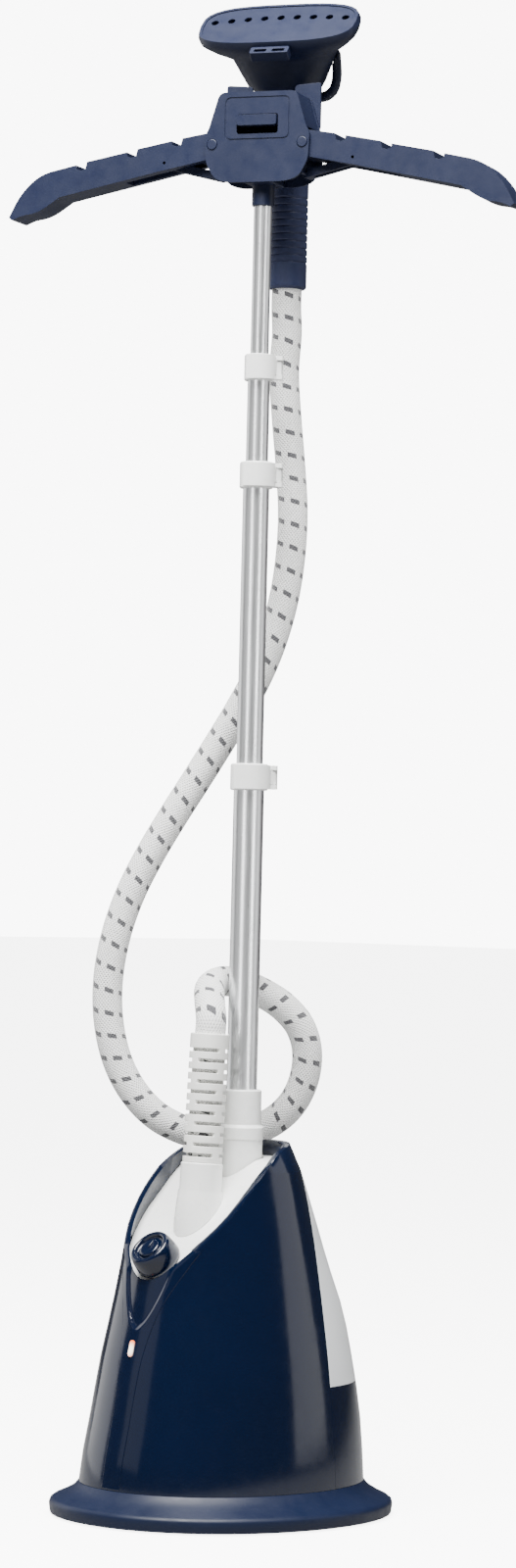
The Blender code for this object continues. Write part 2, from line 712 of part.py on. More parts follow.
def clamp(k):
    """White clamp on top of tube k, its pin and its flip lever."""
    radius = tube_radii[k - 1]
    inner = tube_radii[k]
    outer = radius + 0.0036
    top = tube_tops[k - 1] + 0.0105
    bottom = top - clamp_height
    name = "clamp_" + str(k)
    collar = lathe(name, [
        (inner + slide_play, top), (outer - 0.0012, top), (outer, top - 0.0014),
        (outer, bottom + 0.0012), (outer - 0.0010, bottom), (radius + 0.0002, bottom),
        (radius + 0.0002, tube_tops[k - 1] + gap), (inner + slide_play, tube_tops[k - 1] + gap)],
        24, True)
    spot = Vector((0, mast_y, 0))
    turn = Matrix.Rotation(math.radians(45), 4, "Z")
    seat(collar, spot, turn)
    pin_x = outer + 0.0050
    pin_y = -0.0030
    lug = prism(name + "_lug", rounded([(outer - 0.0028, -0.0080), (pin_x + 0.0042, -0.0080),
                                        (pin_x + 0.0042, 0.0080), (outer - 0.0028, 0.0080)],
                                       0.003, 3), "z", bottom + 0.0015, top - 0.0015, True)
    lug.parent = collar
    boolean(collar, lug, "UNION")
    slit = box(name + "_slit", (0.006, 0.0020, bottom - 0.01), (0.05, 0.0034, top + 0.01), True)
    slit.parent = collar
    edge = outer + 0.0005
    arc = [(edge * math.cos(math.radians(a)), edge * math.sin(math.radians(a)))
           for a in range(-50, 1, 5)]
    notch = prism(name + "_notch", arc + [(edge, 0.0014), (0.06, 0.0014), (0.06, -0.05)], "z",
                  bottom + 0.0058, top - 0.0058, True)
    notch.parent = collar
    hole = rod(name + "_hole", 0.0017, bottom - 0.01, top + 0.01, 12, cutter=True)
    hole.parent = collar
    hole.location = (pin_x, pin_y, 0)
    cut(collar, slit, notch, hole)
    paint(collar, white, 0.35)
    place = spot + turn @ Vector((pin_x, pin_y, 0))
    # lever: a hub round the pin and a curved plate over the front of the collar
    centre = Vector((-pin_x, -pin_y))
    out_radius = outer + 0.0043
    in_radius = outer + 0.0014
    start = math.radians(-21)
    stop = math.radians(-128)
    outside = []
    inside = []
    for i in range(13):
        a = start + (stop - start) * i / 12
        flare = 0.0016 * max(0.0, (i - 9) / 3) ** 2
        outside.append(centre + Vector((math.cos(a), math.sin(a))) * (out_radius + flare))
        inside.append(centre + Vector((math.cos(a), math.sin(a))) * (in_radius + flare))
    hub = []
    for i in range(9):
        a = math.radians(-60 + 200 * i / 8)
        hub.append(Vector((math.cos(a), math.sin(a))) * 0.0036)
    outline = outside[::-1] + hub + inside
    lever = prism(name + "_lever", [(p.x, p.y) for p in outline], "z", bottom + 0.0012,
                  top - 0.0012)
    seat(lever, place, turn)
    low_cut = ring(name + "_low_cut", 0.0078, 0.0014, bottom - 0.001, bottom + 0.0061, 14,
                   cutter=True)
    high_cut = ring(name + "_high_cut", 0.0078, 0.0014, top - 0.0061, top + 0.001, 14,
                    cutter=True)
    for tool in (low_cut, high_cut):
        tool.parent = lever
    cut(lever, low_cut, high_cut)
    paint(lever, white, 0.35)


for k in (1, 2, 3):
    clamp(k)

# ---- hanger ----------------------------------------------------------------------
housing_outline = [(-0.0400, 1.3920), (-0.0510, 1.3560), (-0.0545, 1.3500), (-0.0535, 1.3240),
                   (-0.0440, 1.3070), (-0.0300, 1.3030), (0.0300, 1.3030), (0.0440, 1.3070),
                   (0.0535, 1.3240), (0.0545, 1.3500), (0.0510, 1.3560), (0.0400, 1.3920)]
outline = rounded(housing_outline, 0.006, 3)
front_y = -housing_front
back_y = -housing_back
hanger_front = prism("hanger_front_cover", outline, "y", front_y, front_y + cover_thickness)
seat_on_hanger(hanger_front, (0, 0, 0))
# side walls and crown stand on the front cover, above the arms
crown_outer = rounded([(-0.0390, 1.3912), (-0.0499, 1.3567), (-0.0468, 1.3567), (-0.0366, 1.3884),
                       (0.0366, 1.3884), (0.0468, 1.3567), (0.0499, 1.3567), (0.0390, 1.3912)],
                      0.0012, 2)
frame_outer = rounded([(-0.0341, 1.3871), (-0.0341, 1.3443), (0.0341, 1.3443), (0.0341, 1.3871)],
                      0.007, 4)
frame_inner = rounded([(-0.0324, 1.3854), (-0.0324, 1.3460), (0.0324, 1.3460), (0.0324, 1.3854)],
                      0.0055, 4)
groove = prism("frame_groove", frame_outer, "y", front_y - 0.01, front_y + 0.0007, True,
               (frame_inner,))
latch_slot = prism("latch_slot", rounded([(-0.0215, 1.3700), (-0.0215, 1.3505),
                                          (0.0215, 1.3505), (0.0215, 1.3700)], 0.003, 4),
                   "y", front_y - 0.01, front_y + 0.01, True)
for tool in (groove, latch_slot):
    tool.parent = hanger_front
cut(hanger_front, groove, latch_slot)
pin_holes = []
for side in (-1, 1):
    hole = rod("arm_pin_hole", 0.0058, -0.05, 0.05, 16, cutter=True)
    hole.parent = hanger_front
    hole.matrix_local = Matrix.Translation((side * arm_pivot_side, 0, arm_pivot_height)) \
        @ Matrix.Rotation(math.pi / 2, 4, "X")
    cut(hanger_front, hole)
crown = prism("crown", crown_outer, "y", front_y + 0.001, back_y - cover_thickness - gap, True)
crown.parent = hanger_front
boolean(hanger_front, crown, "UNION")
paint(hanger_front, navy_soft, 0.45)

hanger_rear = prism("hanger_rear_cover", outline, "y", back_y - cover_thickness, back_y)
seat_on_hanger(hanger_rear, (0, 0, 0))
for side in (-1, 1):
    hole = rod("arm_pin_hole_rear", 0.0032, -0.05, 0.05, 12, cutter=True)
    hole.parent = hanger_rear
    hole.matrix_local = Matrix.Translation((side * arm_pivot_side, 0, arm_pivot_height)) \
        @ Matrix.Rotation(math.pi / 2, 4, "X")
    cut(hanger_rear, hole)
paint(hanger_rear, navy_soft, 0.45)

# collar on the mast with a mounting block between the covers
collar_bottom = 1.2815
core_half_depth_front = housing_front - cover_thickness - gap
core_half_depth_back = housing_back + cover_thickness + gap
hanger_collar = prism("hanger_collar", rounded([
    (-0.0150, 1.3460), (-0.0150, 1.3024), (0.0150, 1.3024), (0.0150, 1.3460)], 0.003, 3), "y",
    -core_half_depth_front, -core_half_depth_back)
seat_on_hanger(hanger_collar, (0, 0, 0))
collar_tube = rod("collar_tube", 0.0112, collar_bottom, 1.3100, 26, 0.0010, cutter=True)
collar_bore = rod("collar_bore", tube_radii[3] + gap, 1.20, 1.2970, 24, cutter=True)
for tool in (collar_tube, collar_bore):
    tool.parent = hanger_collar
boolean(hanger_collar, collar_tube, "UNION")
cut(hanger_collar, collar_bore)
paint(hanger_collar, navy_soft, 0.45)

latch_bar = prism("latch_slider", rounded([(-0.0205, 1.3690), (-0.0205, 1.3585),
                                           (0.0205, 1.3585), (0.0205, 1.3690)], 0.0025, 4),
                  "y", front_y - 0.0030, front_y + 0.0062)
bevel(latch_bar, 0.0008)
seat_on_hanger(latch_bar, (0, 0, 0))
for mod in list(latch_bar.modifiers):
    mod.segments = 2
paint(latch_bar, navy_soft, 0.4)

# ---- arms ------------------------------------------------------------------------
top_route = ((0.060, 1.3520), (0.0900, 1.3472), (0.1380, 1.3375), (0.1910, 1.3265),
             (0.2190, 1.3200))
low_route = ((0.0560, 1.3262), (0.1013, 1.3172), (0.1537, 1.3060), (0.2100, 1.2940))
notch_spots = (0.0905, 0.1380, 0.1920)
notch_width = 0.0110
notch_drop = 0.0050


def height_on(route, x):
    for (x0, z0), (x1, z1) in zip(route, route[1:]):
        if x <= x1 or (x1, z1) == route[-1]:
            return z0 + (z1 - z0) * (x - x0) / (x1 - x0)


def arm_outline(side):
    """Right arm outline relative to the pivot; the left arm mirrors it."""
    pts = []
    for i in range(9):  # knuckle round the pivot
        a = math.radians(262 - 164 * i / 8)
        pts.append((0.0133 * math.cos(a), 0.0133 * math.sin(a)))
    pts.append((0.060 - arm_pivot_side, 1.3520 - arm_pivot_height))
    for spot in notch_spots:
        edge = height_on(top_route, spot)
        pts.append((spot - notch_width - arm_pivot_side,
                    height_on(top_route, spot - notch_width) - arm_pivot_height))
        pts.append((spot - notch_width * 0.85 - arm_pivot_side,
                    edge - notch_drop * 0.9 - arm_pivot_height))
        pts.append((spot - notch_width * 0.45 - arm_pivot_side,
                    edge - notch_drop * 1.25 - arm_pivot_height))
        pts.append((spot - arm_pivot_side, edge - notch_drop * 0.9 - arm_pivot_height))
        pts.append((spot + 0.0004 - arm_pivot_side, edge - 0.0006 - arm_pivot_height))
    shoulder = smooth_path(((0.2190, 1.3200, 0), (0.2300, 1.3160, 0), (0.2420, 1.3075, 0),
                            (0.2540, 1.2935, 0), (arm_span, 1.2750, 0)), 12)
    for p in shoulder:
        pts.append((p.x - arm_pivot_side, p.y - arm_pivot_height))
    under = smooth_path(((arm_span - 0.0035, 1.2722, 0), (0.2500, 1.2765, 0),
                         (0.2380, 1.2785, 0), (0.2260, 1.2835, 0), (0.2100, 1.2940, 0)), 10)
    for p in under:
        pts.append((p.x - arm_pivot_side, p.y - arm_pivot_height))
    for x, z in reversed(low_route[:-1]):
        pts.append((x - arm_pivot_side, z - arm_pivot_height))
    pts = [(side * x, z) for x, z in pts]
    return pts if side < 0 else pts[::-1]


arm_front = -arm_depth / 2
stay_front = -0.0060
stay_back = 0.0100
stay_pivot = (0.0455, 1.3120)
arm_back = arm_front + arm_depth
for side, word in ((1, "right"), (-1, "left")):
    arm = prism("arm_" + word, arm_outline(side), "y", arm_front, arm_back)
    seat_on_hanger(arm, (side * arm_pivot_side, 0, arm_pivot_height))
    bore = rod("arm_bore_" + word, 0.0034, -0.05, 0.05, 20, cutter=True)
    bore.parent = arm
    bore.matrix_local = Matrix.Rotation(math.pi / 2, 4, "X")
    # slot in the underside of the arm that takes the stay
    slot = [(side * x, z) for x, z in (
        (0.0150, -0.060), (0.0150, -0.0100), (0.0500, -0.0070), (0.0900, -0.0100),
        (0.0960, -0.0300), (0.0960, -0.060))]
    hollow = prism("arm_hollow_" + word, slot, "y", stay_front - 0.0012, stay_back + 0.0012, True)
    hollow.parent = arm
    dot = rod("arm_dot_" + word, 0.0016, -0.05, 0.05, 12, cutter=True)
    dot.parent = arm
    dot.matrix_local = Matrix.Translation((side * (0.0985 - arm_pivot_side), 0,
                                           1.3250 - arm_pivot_height)) \
        @ Matrix.Rotation(math.pi / 2, 4, "X")
    cut(arm, bore, hollow, dot)
    paint(arm, navy_soft, 0.42)
    pin = lathe("arm_pin_" + word, [
        (0, 0.0234), (0.0048, 0.0234), (0.0055, 0.0227), (0.0055, 0.0193), (0.0031, 0.0193),
        (0.0031, -0.0224), (0, -0.0224)], 16)
    seat_on_hanger(pin, (side * arm_pivot_side, 0, arm_pivot_height),
                   Matrix.Rotation(math.pi / 2, 4, "X"))
    paint(pin, navy_soft, 0.35)
    # stay: two bars on a hub, turning on its own axle under the arm's pivot
    reach_x = 0.0985 - stay_pivot[0]
    reach_z = 1.3250 - stay_pivot[1]
    length = math.hypot(reach_x, reach_z)
    angle = math.atan2(reach_z, reach_x)
    bar = []
    for x, z in slot_outline(0.0040, length / 2 + 0.0040, 6):
        along_bar, across_bar = z + length / 2, x
        bar.append((side * (along_bar * math.cos(angle) - across_bar * math.sin(angle)),
                    along_bar * math.sin(angle) + across_bar * math.cos(angle)))
    stay = prism("stay_" + word, bar, "y", stay_front, stay_back)
    seat_on_hanger(stay, (side * stay_pivot[0], 0, stay_pivot[1]))
    between = prism("stay_gap_" + word, [
        (side * (a * math.cos(angle) - b * math.sin(angle)),
         a * math.sin(angle) + b * math.cos(angle))
        for a, b in ((0.0070, -0.02), (0.09, -0.02), (0.09, 0.02), (0.0070, 0.02))],
        "y", stay_front + 0.0040, stay_back - 0.0040, True)
    axle = rod("stay_axle_" + word, 0.0018, -0.0193, 0.0193, 12, cutter=True)
    for tool in (between, axle):
        tool.parent = stay
    axle.matrix_local = Matrix.Rotation(math.pi / 2, 4, "X")
    cut(stay, between)
    boolean(stay, axle, "UNION")
    paint(stay, navy_soft, 0.4)

# ---- cradle for the head --------------------------------------------------------------
cradle = prism("head_cradle", rounded([
    (-0.0495, 1.4070), (-0.0495, 1.3600), (0.0495, 1.3600), (0.0495, 1.4070),
    (0.0225, 1.4050), (0.0205, 1.3790), (-0.0205, 1.3790), (-0.0225, 1.4050)], 0.003, 4),
    "y", back_y + gap, back_y + gap + 0.0035)
seat_on_hanger(cradle, (0, 0, 0))
fork_inner = grip_radius + 0.0020
fork_outer = fork_inner + 0.0080
fork_low, fork_high = 1.3690, 1.3768
inner_points = [(fork_inner * math.cos(2 * math.pi * i / 28),
                 grip_back + fork_inner * math.sin(2 * math.pi * i / 28)) for i in range(28)]
fork = prism("fork", [
    (fork_outer * math.cos(math.pi * i / 16), grip_back + fork_outer * math.sin(math.pi * i / 16))
    for i in range(17)] + [(-fork_outer, back_y + 0.0010), (fork_outer, back_y + 0.0010)],
    "z", fork_low, fork_high, True, (inner_points,))
fork.parent = cradle
boolean(cradle, fork, "UNION")
paint(cradle, navy_soft, 0.45)

# ---- steam head -------------------------------------------------------------------------
head_turn = Matrix.Rotation(math.pi / 2 - plate_tilt, 4, "X")
plate_power = 3.2


def plate_ring(half_wide, half_deep, count=44):
    """Outline of the plate: an oval with nearly straight sides."""
    points = []
    for i in range(count):
        c, s = math.cos(2 * math.pi * i / count), math.sin(2 * math.pi * i / count)
        points.append((half_wide * math.copysign(abs(c) ** (2 / plate_power), c),
                       half_deep * math.copysign(abs(s) ** (2 / plate_power), s)))
    return points


plate_outline = plate_ring(plate_width / 2, plate_height / 2)
holes = []
hole_count = 9
hole_pitch = 0.0172
hole_radius = 0.0040
for k in range(hole_count):
    x = (k - (hole_count - 1) / 2) * hole_pitch
    y = 0.0105 - 0.9 * x * x
    holes.append([(x + hole_radius * math.cos(math.pi * i / 5),
                   y + hole_radius * math.sin(math.pi * i / 5)) for i in range(10)])
nozzle_plate = prism("nozzle_plate", plate_outline, "z", -0.0030, 0.0, False, holes)
seat_on_hanger(nozzle_plate, plate_centre, head_turn)
paint(nozzle_plate, navy_soft, 0.35)


def head_ring(half_wide, half_deep, centre, normal_angle, power, count=30):
    """Oval ring of the head, tilted about the side to side axis."""
    tilt = Matrix.Rotation(normal_angle, 4, "X")
    points = []
    for i in range(count):
        a = 2 * math.pi * i / count
        c, s = math.cos(a), math.sin(a)
        p = Vector((half_wide * math.copysign(abs(c) ** (2 / power), c),
                    half_deep * math.copysign(abs(s) ** (2 / power), s), 0))
        points.append(tuple(Vector(centre) + tilt @ p))
    return points


def head_rings(inset, over=0.0):
    tilt = math.pi / 2 - plate_tilt
    normal = Vector((0, -math.sin(tilt), math.cos(tilt)))
    face = plate_centre - normal * (0.0030 + gap)
    low = Vector((0, grip_back, grip_top + 0.0060))
    rows = []
    rows.append(head_ring(0.0205 - inset, 0.0205 - inset, low, 0.0, 2.0))
    rows.append(head_ring(0.0225 - inset, 0.0225 - inset, low + Vector((0, -0.001, 0.008)),
                          0.06, 2.0))
    rows.append(head_ring(0.0290 - inset, 0.0240 - inset, low + Vector((0, -0.006, 0.018)),
                          0.22, 2.1))
    rows.append(head_ring(0.0400 - inset, 0.0255 - inset, low + Vector((0, -0.014, 0.029)),
                          0.40, 2.2))
    wide, deep = plate_width / 2 + head_rim - inset, plate_height / 2 + head_rim - inset
    rows.append(head_ring(wide - 0.0270, deep - 0.0075, face - normal * 0.028, tilt * 0.88, 2.5))
    rows.append(head_ring(wide - 0.0110, deep - 0.0035, face - normal * 0.016, tilt, 2.9))
    rows.append(head_ring(wide - 0.0015, deep - 0.0010, face - normal * 0.0075, tilt, 3.2))
    rows.append(head_ring(wide, deep, face - normal * 0.0015, tilt, 3.2))
    if over:
        rows.append(head_ring(wide - 0.0014, deep - 0.0014, face + normal * over, tilt, 3.2))
    return rows


head_shell = loft("head_shell", head_rings(0.0, 0.0030 + gap + 0.0010))
head_room_rows = head_rings(0.0026)
head_room = loft("head_room", head_room_rows[1:-1] + [
    head_ring(plate_width / 2 - 0.0030, plate_height / 2 - 0.0030,
              plate_centre - Vector((0, -math.sin(math.pi / 2 - plate_tilt),
                                     math.cos(math.pi / 2 - plate_tilt))) * 0.0020,
              math.pi / 2 - plate_tilt, 3.2)], True)
plate_pocket = prism("plate_pocket", plate_ring(plate_width / 2 + gap, plate_height / 2 + gap),
                     "z", -0.0030 - gap, 0.02, True)
plate_pocket.matrix_world = Matrix.Translation(plate_centre) @ head_turn
head_neck = rod("head_neck", 0.0100, grip_top - 0.02, grip_top + 0.03, 28, cutter=True)
head_neck.location = (0, grip_back, 0)
for tool in (head_room, head_neck, plate_pocket):
    tool.parent = head_shell
cut(head_shell, head_room, head_neck, plate_pocket)
seat_on_hanger(head_shell, (0, 0, 0))
paint(head_shell, navy_soft, 0.38)

clip_turn = Matrix.Rotation(math.pi / 2 - plate_tilt, 4, "X")
clip = prism("accessory_clip", rounded([(-0.0200, -0.0045), (0.0200, -0.0045), (0.0200, 0.0060),
                                        (-0.0200, 0.0060)], 0.002, 3), "z", -0.0135, -0.0035,
             False, [rounded([(x - 0.0065, -0.0022), (x + 0.0065, -0.0022), (x + 0.0065, 0.0022),
                              (x - 0.0065, 0.0022)], 0.001, 2) for x in (-0.0095, 0.0095)])
clip_spot = plate_centre + clip_turn @ Vector((0, -0.0357 - 0.0040, 0))
seat_on_hanger(clip, clip_spot, clip_turn)
paint(clip, navy_soft, 0.4)

loop_route = [(0.0440, 0.0520, 1.4420), (0.0520, 0.0550, 1.4430), (0.0525, 0.0590, 1.4330),
              (0.0520, 0.0630, 1.4200), (0.0480, 0.0670, 1.4080), (0.0400, 0.0700, 1.4020),
              (0.0310, 0.0730, 1.4010), (0.0180, 0.0750, 1.4010)]
hook_loop = tube("head_loop", loop_route, 0.0052, 16, 2)
loop_fit = loft("loop_fit", head_rings(-gap, 0.0030), True)
loop_fit.parent = hook_loop
cut(hook_loop, loop_fit)
seat_on_hanger(hook_loop, (0, 0, 0))
paint(hook_loop, navy_soft, 0.4)

# grip: ribbed sleeve on a liner
groove_pitch = 0.0071
groove_depth = 0.0011
groove_high, groove_low = 1.3010, 1.2320
profile = [(0.0120, grip_top), (grip_radius + 0.0062, grip_top), (grip_radius + 0.0070, grip_top
           - 0.0008), (grip_radius + 0.0070, grip_top - 0.0022), (grip_radius + 0.0012, grip_top
           - 0.0026), (grip_radius, grip_top - 0.0040)]
z = groove_high
while z > groove_low:
    profile.append((grip_radius, z))
    profile.append((grip_radius - groove_depth, z - 0.0013))
    profile.append((grip_radius, z - 0.0026))
    z -= groove_pitch
profile += [(grip_radius, grip_bottom + 0.0020), (grip_radius - 0.0015, grip_bottom),
            (0.0120, grip_bottom)]
grip = lathe("steam_grip", profile, 18, True)
seat_on_hanger(grip, (0, grip_back, 0))
paint(grip, navy_soft, 0.5)

# ---- steam hose -----------------------------------------------------------------------------
view = math.sqrt(0.5)


def hose_point(across, toward, height):
    """A route point given across the diagonal, toward the front right corner, and by height."""
    return Vector(((across + toward) * view, (across - toward) * view, height))


sleeve_end = sleeve_head + sleeve_axis * gap
hose_route = [
    sleeve_end, sleeve_end + sleeve_axis * 0.014,
    hose_point(-0.0235, 0.003, 0.4990), hose_point(-0.0235, -0.017, 0.5110),
    hose_point(-0.0130, -0.036, 0.5175), hose_point(0.0060, -0.046, 0.5160),
    hose_point(0.0300, -0.052, 0.5060), hose_point(0.0500, -0.057, 0.4930),
    hose_point(0.0665, -0.062, 0.4740), hose_point(0.0740, -0.068, 0.4490),
    hose_point(0.0715, -0.075, 0.4210), hose_point(0.0600, -0.082, 0.3960),
    hose_point(0.0400, -0.089, 0.3770), hose_point(0.0120, -0.094, 0.3650),
    hose_point(-0.0200, -0.096, 0.3620), hose_point(-0.0500, -0.096, 0.3680),
    hose_point(-0.0780, -0.094, 0.3830), hose_point(-0.1010, -0.092, 0.4080),
    hose_point(-0.1170, -0.090, 0.4400), hose_point(-0.1255, -0.088, 0.4790),
    hose_point(-0.1260, -0.086, 0.5200), hose_point(-0.1190, -0.084, 0.5620),
    hose_point(-0.1060, -0.083, 0.6020), hose_point(-0.0880, -0.082, 0.6400),
    hose_point(-0.0660, -0.081, 0.6790), hose_point(-0.0430, -0.080, 0.7170),
    hose_point(-0.0210, -0.080, 0.7540), hose_point(-0.0010, -0.080, 0.7890),
    hose_point(0.0170, -0.080, 0.8250), hose_point(0.0310, -0.080, 0.8630),
    hose_point(0.0410, -0.080, 0.9050), hose_point(0.0460, -0.080, 0.9480),
    hose_point(0.0468, -0.080, 0.9900), hose_point(0.0430, -0.080, 1.0370),
    hose_point(0.0385, -0.080, 1.0800), hose_point(0.0350, -0.0803, 1.1250),
]
grip_axis = hang((0, grip_back, 0))
hose_route += [Vector((grip_axis.x, grip_axis.y, h)) + hose_point(s, 0, 0)
               for h, s in ((1.165, 0.0012), (1.190, 0.0), (grip_bottom - gap, 0.0))]
fine = smooth_path(hose_route, 1201)
lengths = [0.0]
for a, b in zip(fine, fine[1:]):
    lengths.append(lengths[-1] + (b - a).length)
hose_length = lengths[-1]


def hose_at(distance):
    """Point of the hose at a distance from the sleeve's top."""
    for k in range(1, len(lengths)):
        if lengths[k] >= distance:
            t = (distance - lengths[k - 1]) / (lengths[k] - lengths[k - 1])
            return fine[k - 1].lerp(fine[k], t)
    return fine[-1]


joins = (0.0, 0.560, 0.940, 1.180, hose_length)
hose_names = ("steam_hose_1", "steam_hose_2", "steam_hose_3", "steam_hose_4")
for name, start, stop in zip(hose_names, joins, joins[1:]):
    low = start + (gap if start > 0 else 0)
    high = stop - (gap if stop < hose_length else 0)
    count = max(6, int((high - low) / 0.030))
    stops = [low + (high - low) * i / (count - 1) for i in range(count)]
    stops[1:1] = [low + 0.002]
    stops[-1:-1] = [high - 0.002]
    obj = tube(name, [hose_at(at) for at in stops], hose_radius, 0, 4)
    paint(obj, (0.75, 0.75, 0.74), 0.7)
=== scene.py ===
# %% [markdown]
# # Garment steamer
# A garment steamer stands on a weighted base with a boiler and a water tank. A telescopic
# mast carries a folding hanger, and a braided hose brings steam to the head. The moving
# frame is already built to size, so this lesson gives each part its real skin and finish.
# It starts by loading that frame.

# %% Load the frame
import json
import math

import bmesh
import bpy
import numpy as np
from mathutils import Matrix, Vector

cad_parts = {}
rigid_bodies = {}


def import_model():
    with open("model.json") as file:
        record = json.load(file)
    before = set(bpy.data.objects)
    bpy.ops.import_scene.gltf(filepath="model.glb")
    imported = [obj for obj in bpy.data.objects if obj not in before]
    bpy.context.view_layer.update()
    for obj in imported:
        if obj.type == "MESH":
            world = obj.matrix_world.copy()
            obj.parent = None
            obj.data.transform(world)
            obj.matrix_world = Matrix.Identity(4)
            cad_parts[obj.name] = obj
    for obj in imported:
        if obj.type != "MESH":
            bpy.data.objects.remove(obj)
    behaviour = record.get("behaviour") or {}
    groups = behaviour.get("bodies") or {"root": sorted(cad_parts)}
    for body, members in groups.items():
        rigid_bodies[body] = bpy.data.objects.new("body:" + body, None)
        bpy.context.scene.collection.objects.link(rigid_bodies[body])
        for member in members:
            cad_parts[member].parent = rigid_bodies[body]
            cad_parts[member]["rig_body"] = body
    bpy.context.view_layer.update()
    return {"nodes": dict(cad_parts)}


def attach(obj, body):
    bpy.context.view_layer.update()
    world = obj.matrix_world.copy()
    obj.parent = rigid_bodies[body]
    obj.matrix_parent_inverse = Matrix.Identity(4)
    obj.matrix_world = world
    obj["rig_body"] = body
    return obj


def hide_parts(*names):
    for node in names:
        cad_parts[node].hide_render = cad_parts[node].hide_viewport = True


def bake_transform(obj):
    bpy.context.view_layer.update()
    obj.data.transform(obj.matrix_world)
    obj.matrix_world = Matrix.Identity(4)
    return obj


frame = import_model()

scene = bpy.context.scene
nodes = frame["nodes"]

# %% [markdown]
# ## Camera
# A long lens from a few metres away keeps the tall mast straight. The camera stands off the
# front right corner, a little below the middle of the mast, and leans by just over a degree.
# Its place is worked out from a distance and a heading, so either can be changed alone.

# %% Camera
heading = math.radians(45)
toward = Vector((math.sin(heading), -math.cos(heading), 0))
rightward = Vector((math.cos(heading), math.sin(heading), 0))
camera_distance = 4.5
camera_data = bpy.data.cameras.new("studio_camera")
camera_data.lens = 105.4
camera_data.sensor_width = 36.0
camera = bpy.data.objects.new("studio_camera", camera_data)
scene.collection.objects.link(camera)
camera.location = toward * camera_distance + rightward * 0.0187 + Vector((0, 0, 0.62))
aim = -toward + Vector((0, 0, math.tan(math.radians(1.18))))
camera.rotation_mode = "QUATERNION"
camera.rotation_quaternion = (aim.to_track_quat("-Z", "Y")
                              @ Matrix.Rotation(math.radians(1.39), 3, "Z").to_quaternion())
scene.camera = camera
print("camera at", [round(v, 3) for v in camera.location])

# %% [markdown]
# ## Hose route
# The steam hose runs about 1.3 metres from the sleeve to the grip. It leaves the ribbed sleeve,
# turns over beside the mast, hangs in one slack loop and climbs to the grip. A smooth curve through a
# few points could be a curve object, but a swept mesh carries its own surface map, which the
# braid needs. The route is cut at three places, into four lengths.

# %% Hose route
hose_diameter = 0.030
gap = 0.0003
sleeve_foot = Vector((0.0, -0.040, 0.3045))
sleeve_head = Vector((0.0, -0.031, 0.468))
sleeve_axis = (sleeve_head - sleeve_foot).normalized()
mast_y = 0.014
hanger_turn = math.radians(25)
HANGER = Matrix.Rotation(hanger_turn, 4, "Z")


def hang(point):
    """A point of the hanger, measured from the mast's axis, in the frame."""
    return Vector((0, mast_y, 0)) + HANGER @ Vector(point)


def smooth_path(points, count):
    """Evenly counted points on a smooth curve through the route points."""
    pts = [Vector(p) for p in points]
    ends = [2 * pts[0] - pts[1]] + pts + [2 * pts[-1] - pts[-2]]
    result = []
    for i in range(count):
        at = i * (len(pts) - 1) / (count - 1)
        k = min(int(at), len(pts) - 2)
        t = at - k
        a, b, c, d = ends[k:k + 4]
        result.append(0.5 * (2 * b + (c - a) * t + (2 * a - 5 * b + 4 * c - d) * t * t
                             + (3 * b - a - 3 * c + d) * t ** 3))
    return result


sleeve_end = sleeve_head + sleeve_axis * gap
across_toward_height = (
    (-0.0235, 0.003, 0.4990), (-0.0235, -0.017, 0.5110), (-0.0130, -0.036, 0.5175),
    (0.0060, -0.046, 0.5160), (0.0300, -0.052, 0.5060), (0.0500, -0.057, 0.4930),
    (0.0665, -0.062, 0.4740), (0.0740, -0.068, 0.4490), (0.0715, -0.075, 0.4210),
    (0.0600, -0.082, 0.3960), (0.0400, -0.089, 0.3770), (0.0120, -0.094, 0.3650),
    (-0.0200, -0.096, 0.3620), (-0.0500, -0.096, 0.3680), (-0.0780, -0.094, 0.3830),
    (-0.1010, -0.092, 0.4080), (-0.1170, -0.090, 0.4400), (-0.1255, -0.088, 0.4790),
    (-0.1260, -0.086, 0.5200), (-0.1190, -0.084, 0.5620), (-0.1060, -0.083, 0.6020),
    (-0.0880, -0.082, 0.6400), (-0.0660, -0.081, 0.6790), (-0.0430, -0.080, 0.7170),
    (-0.0210, -0.080, 0.7540), (-0.0010, -0.080, 0.7890), (0.0170, -0.080, 0.8250),
    (0.0310, -0.080, 0.8630), (0.0410, -0.080, 0.9050), (0.0460, -0.080, 0.9480),
    (0.0468, -0.080, 0.9900), (0.0430, -0.080, 1.0370), (0.0385, -0.080, 1.0800),
    (0.0350, -0.0803, 1.1250))
route = [sleeve_end, sleeve_end + sleeve_axis * 0.014]
route += [rightward * a + toward * t + Vector((0, 0, h)) for a, t, h in across_toward_height]
grip_axis = hang((0, 0.075, 0))
grip_bottom = 1.2095
route += [Vector((grip_axis.x, grip_axis.y, h)) + rightward * s
          for h, s in ((1.165, 0.0012), (1.190, 0.0), (grip_bottom - gap, 0.0))]
fine = smooth_path(route, 1201)
run = [0.0]
for a, b in zip(fine, fine[1:]):
    run.append(run[-1] + (b - a).length)
hose_length = run[-1]
print("hose length", round(hose_length, 4))

# %% [markdown]
# The swept skin keeps its twist under control by carrying one side vector along the route,
# turning it only as much as the route turns. Each ring stores how far round and how far
# along it is, so the braid runs evenly from one length into the next.

# %% Swept tubes with a map


def frames_on(points):
    """A side and an up vector at each point, carried along without twist."""
    ways = [(points[min(i + 1, len(points) - 1)] - points[max(i - 1, 0)]).normalized()
            for i in range(len(points))]
    side = ways[0].orthogonal().normalized()
    result = []
    for way in ways:
        side = (side - way * side.dot(way)).normalized()
        result.append((side.copy(), way.cross(side)))
    return result


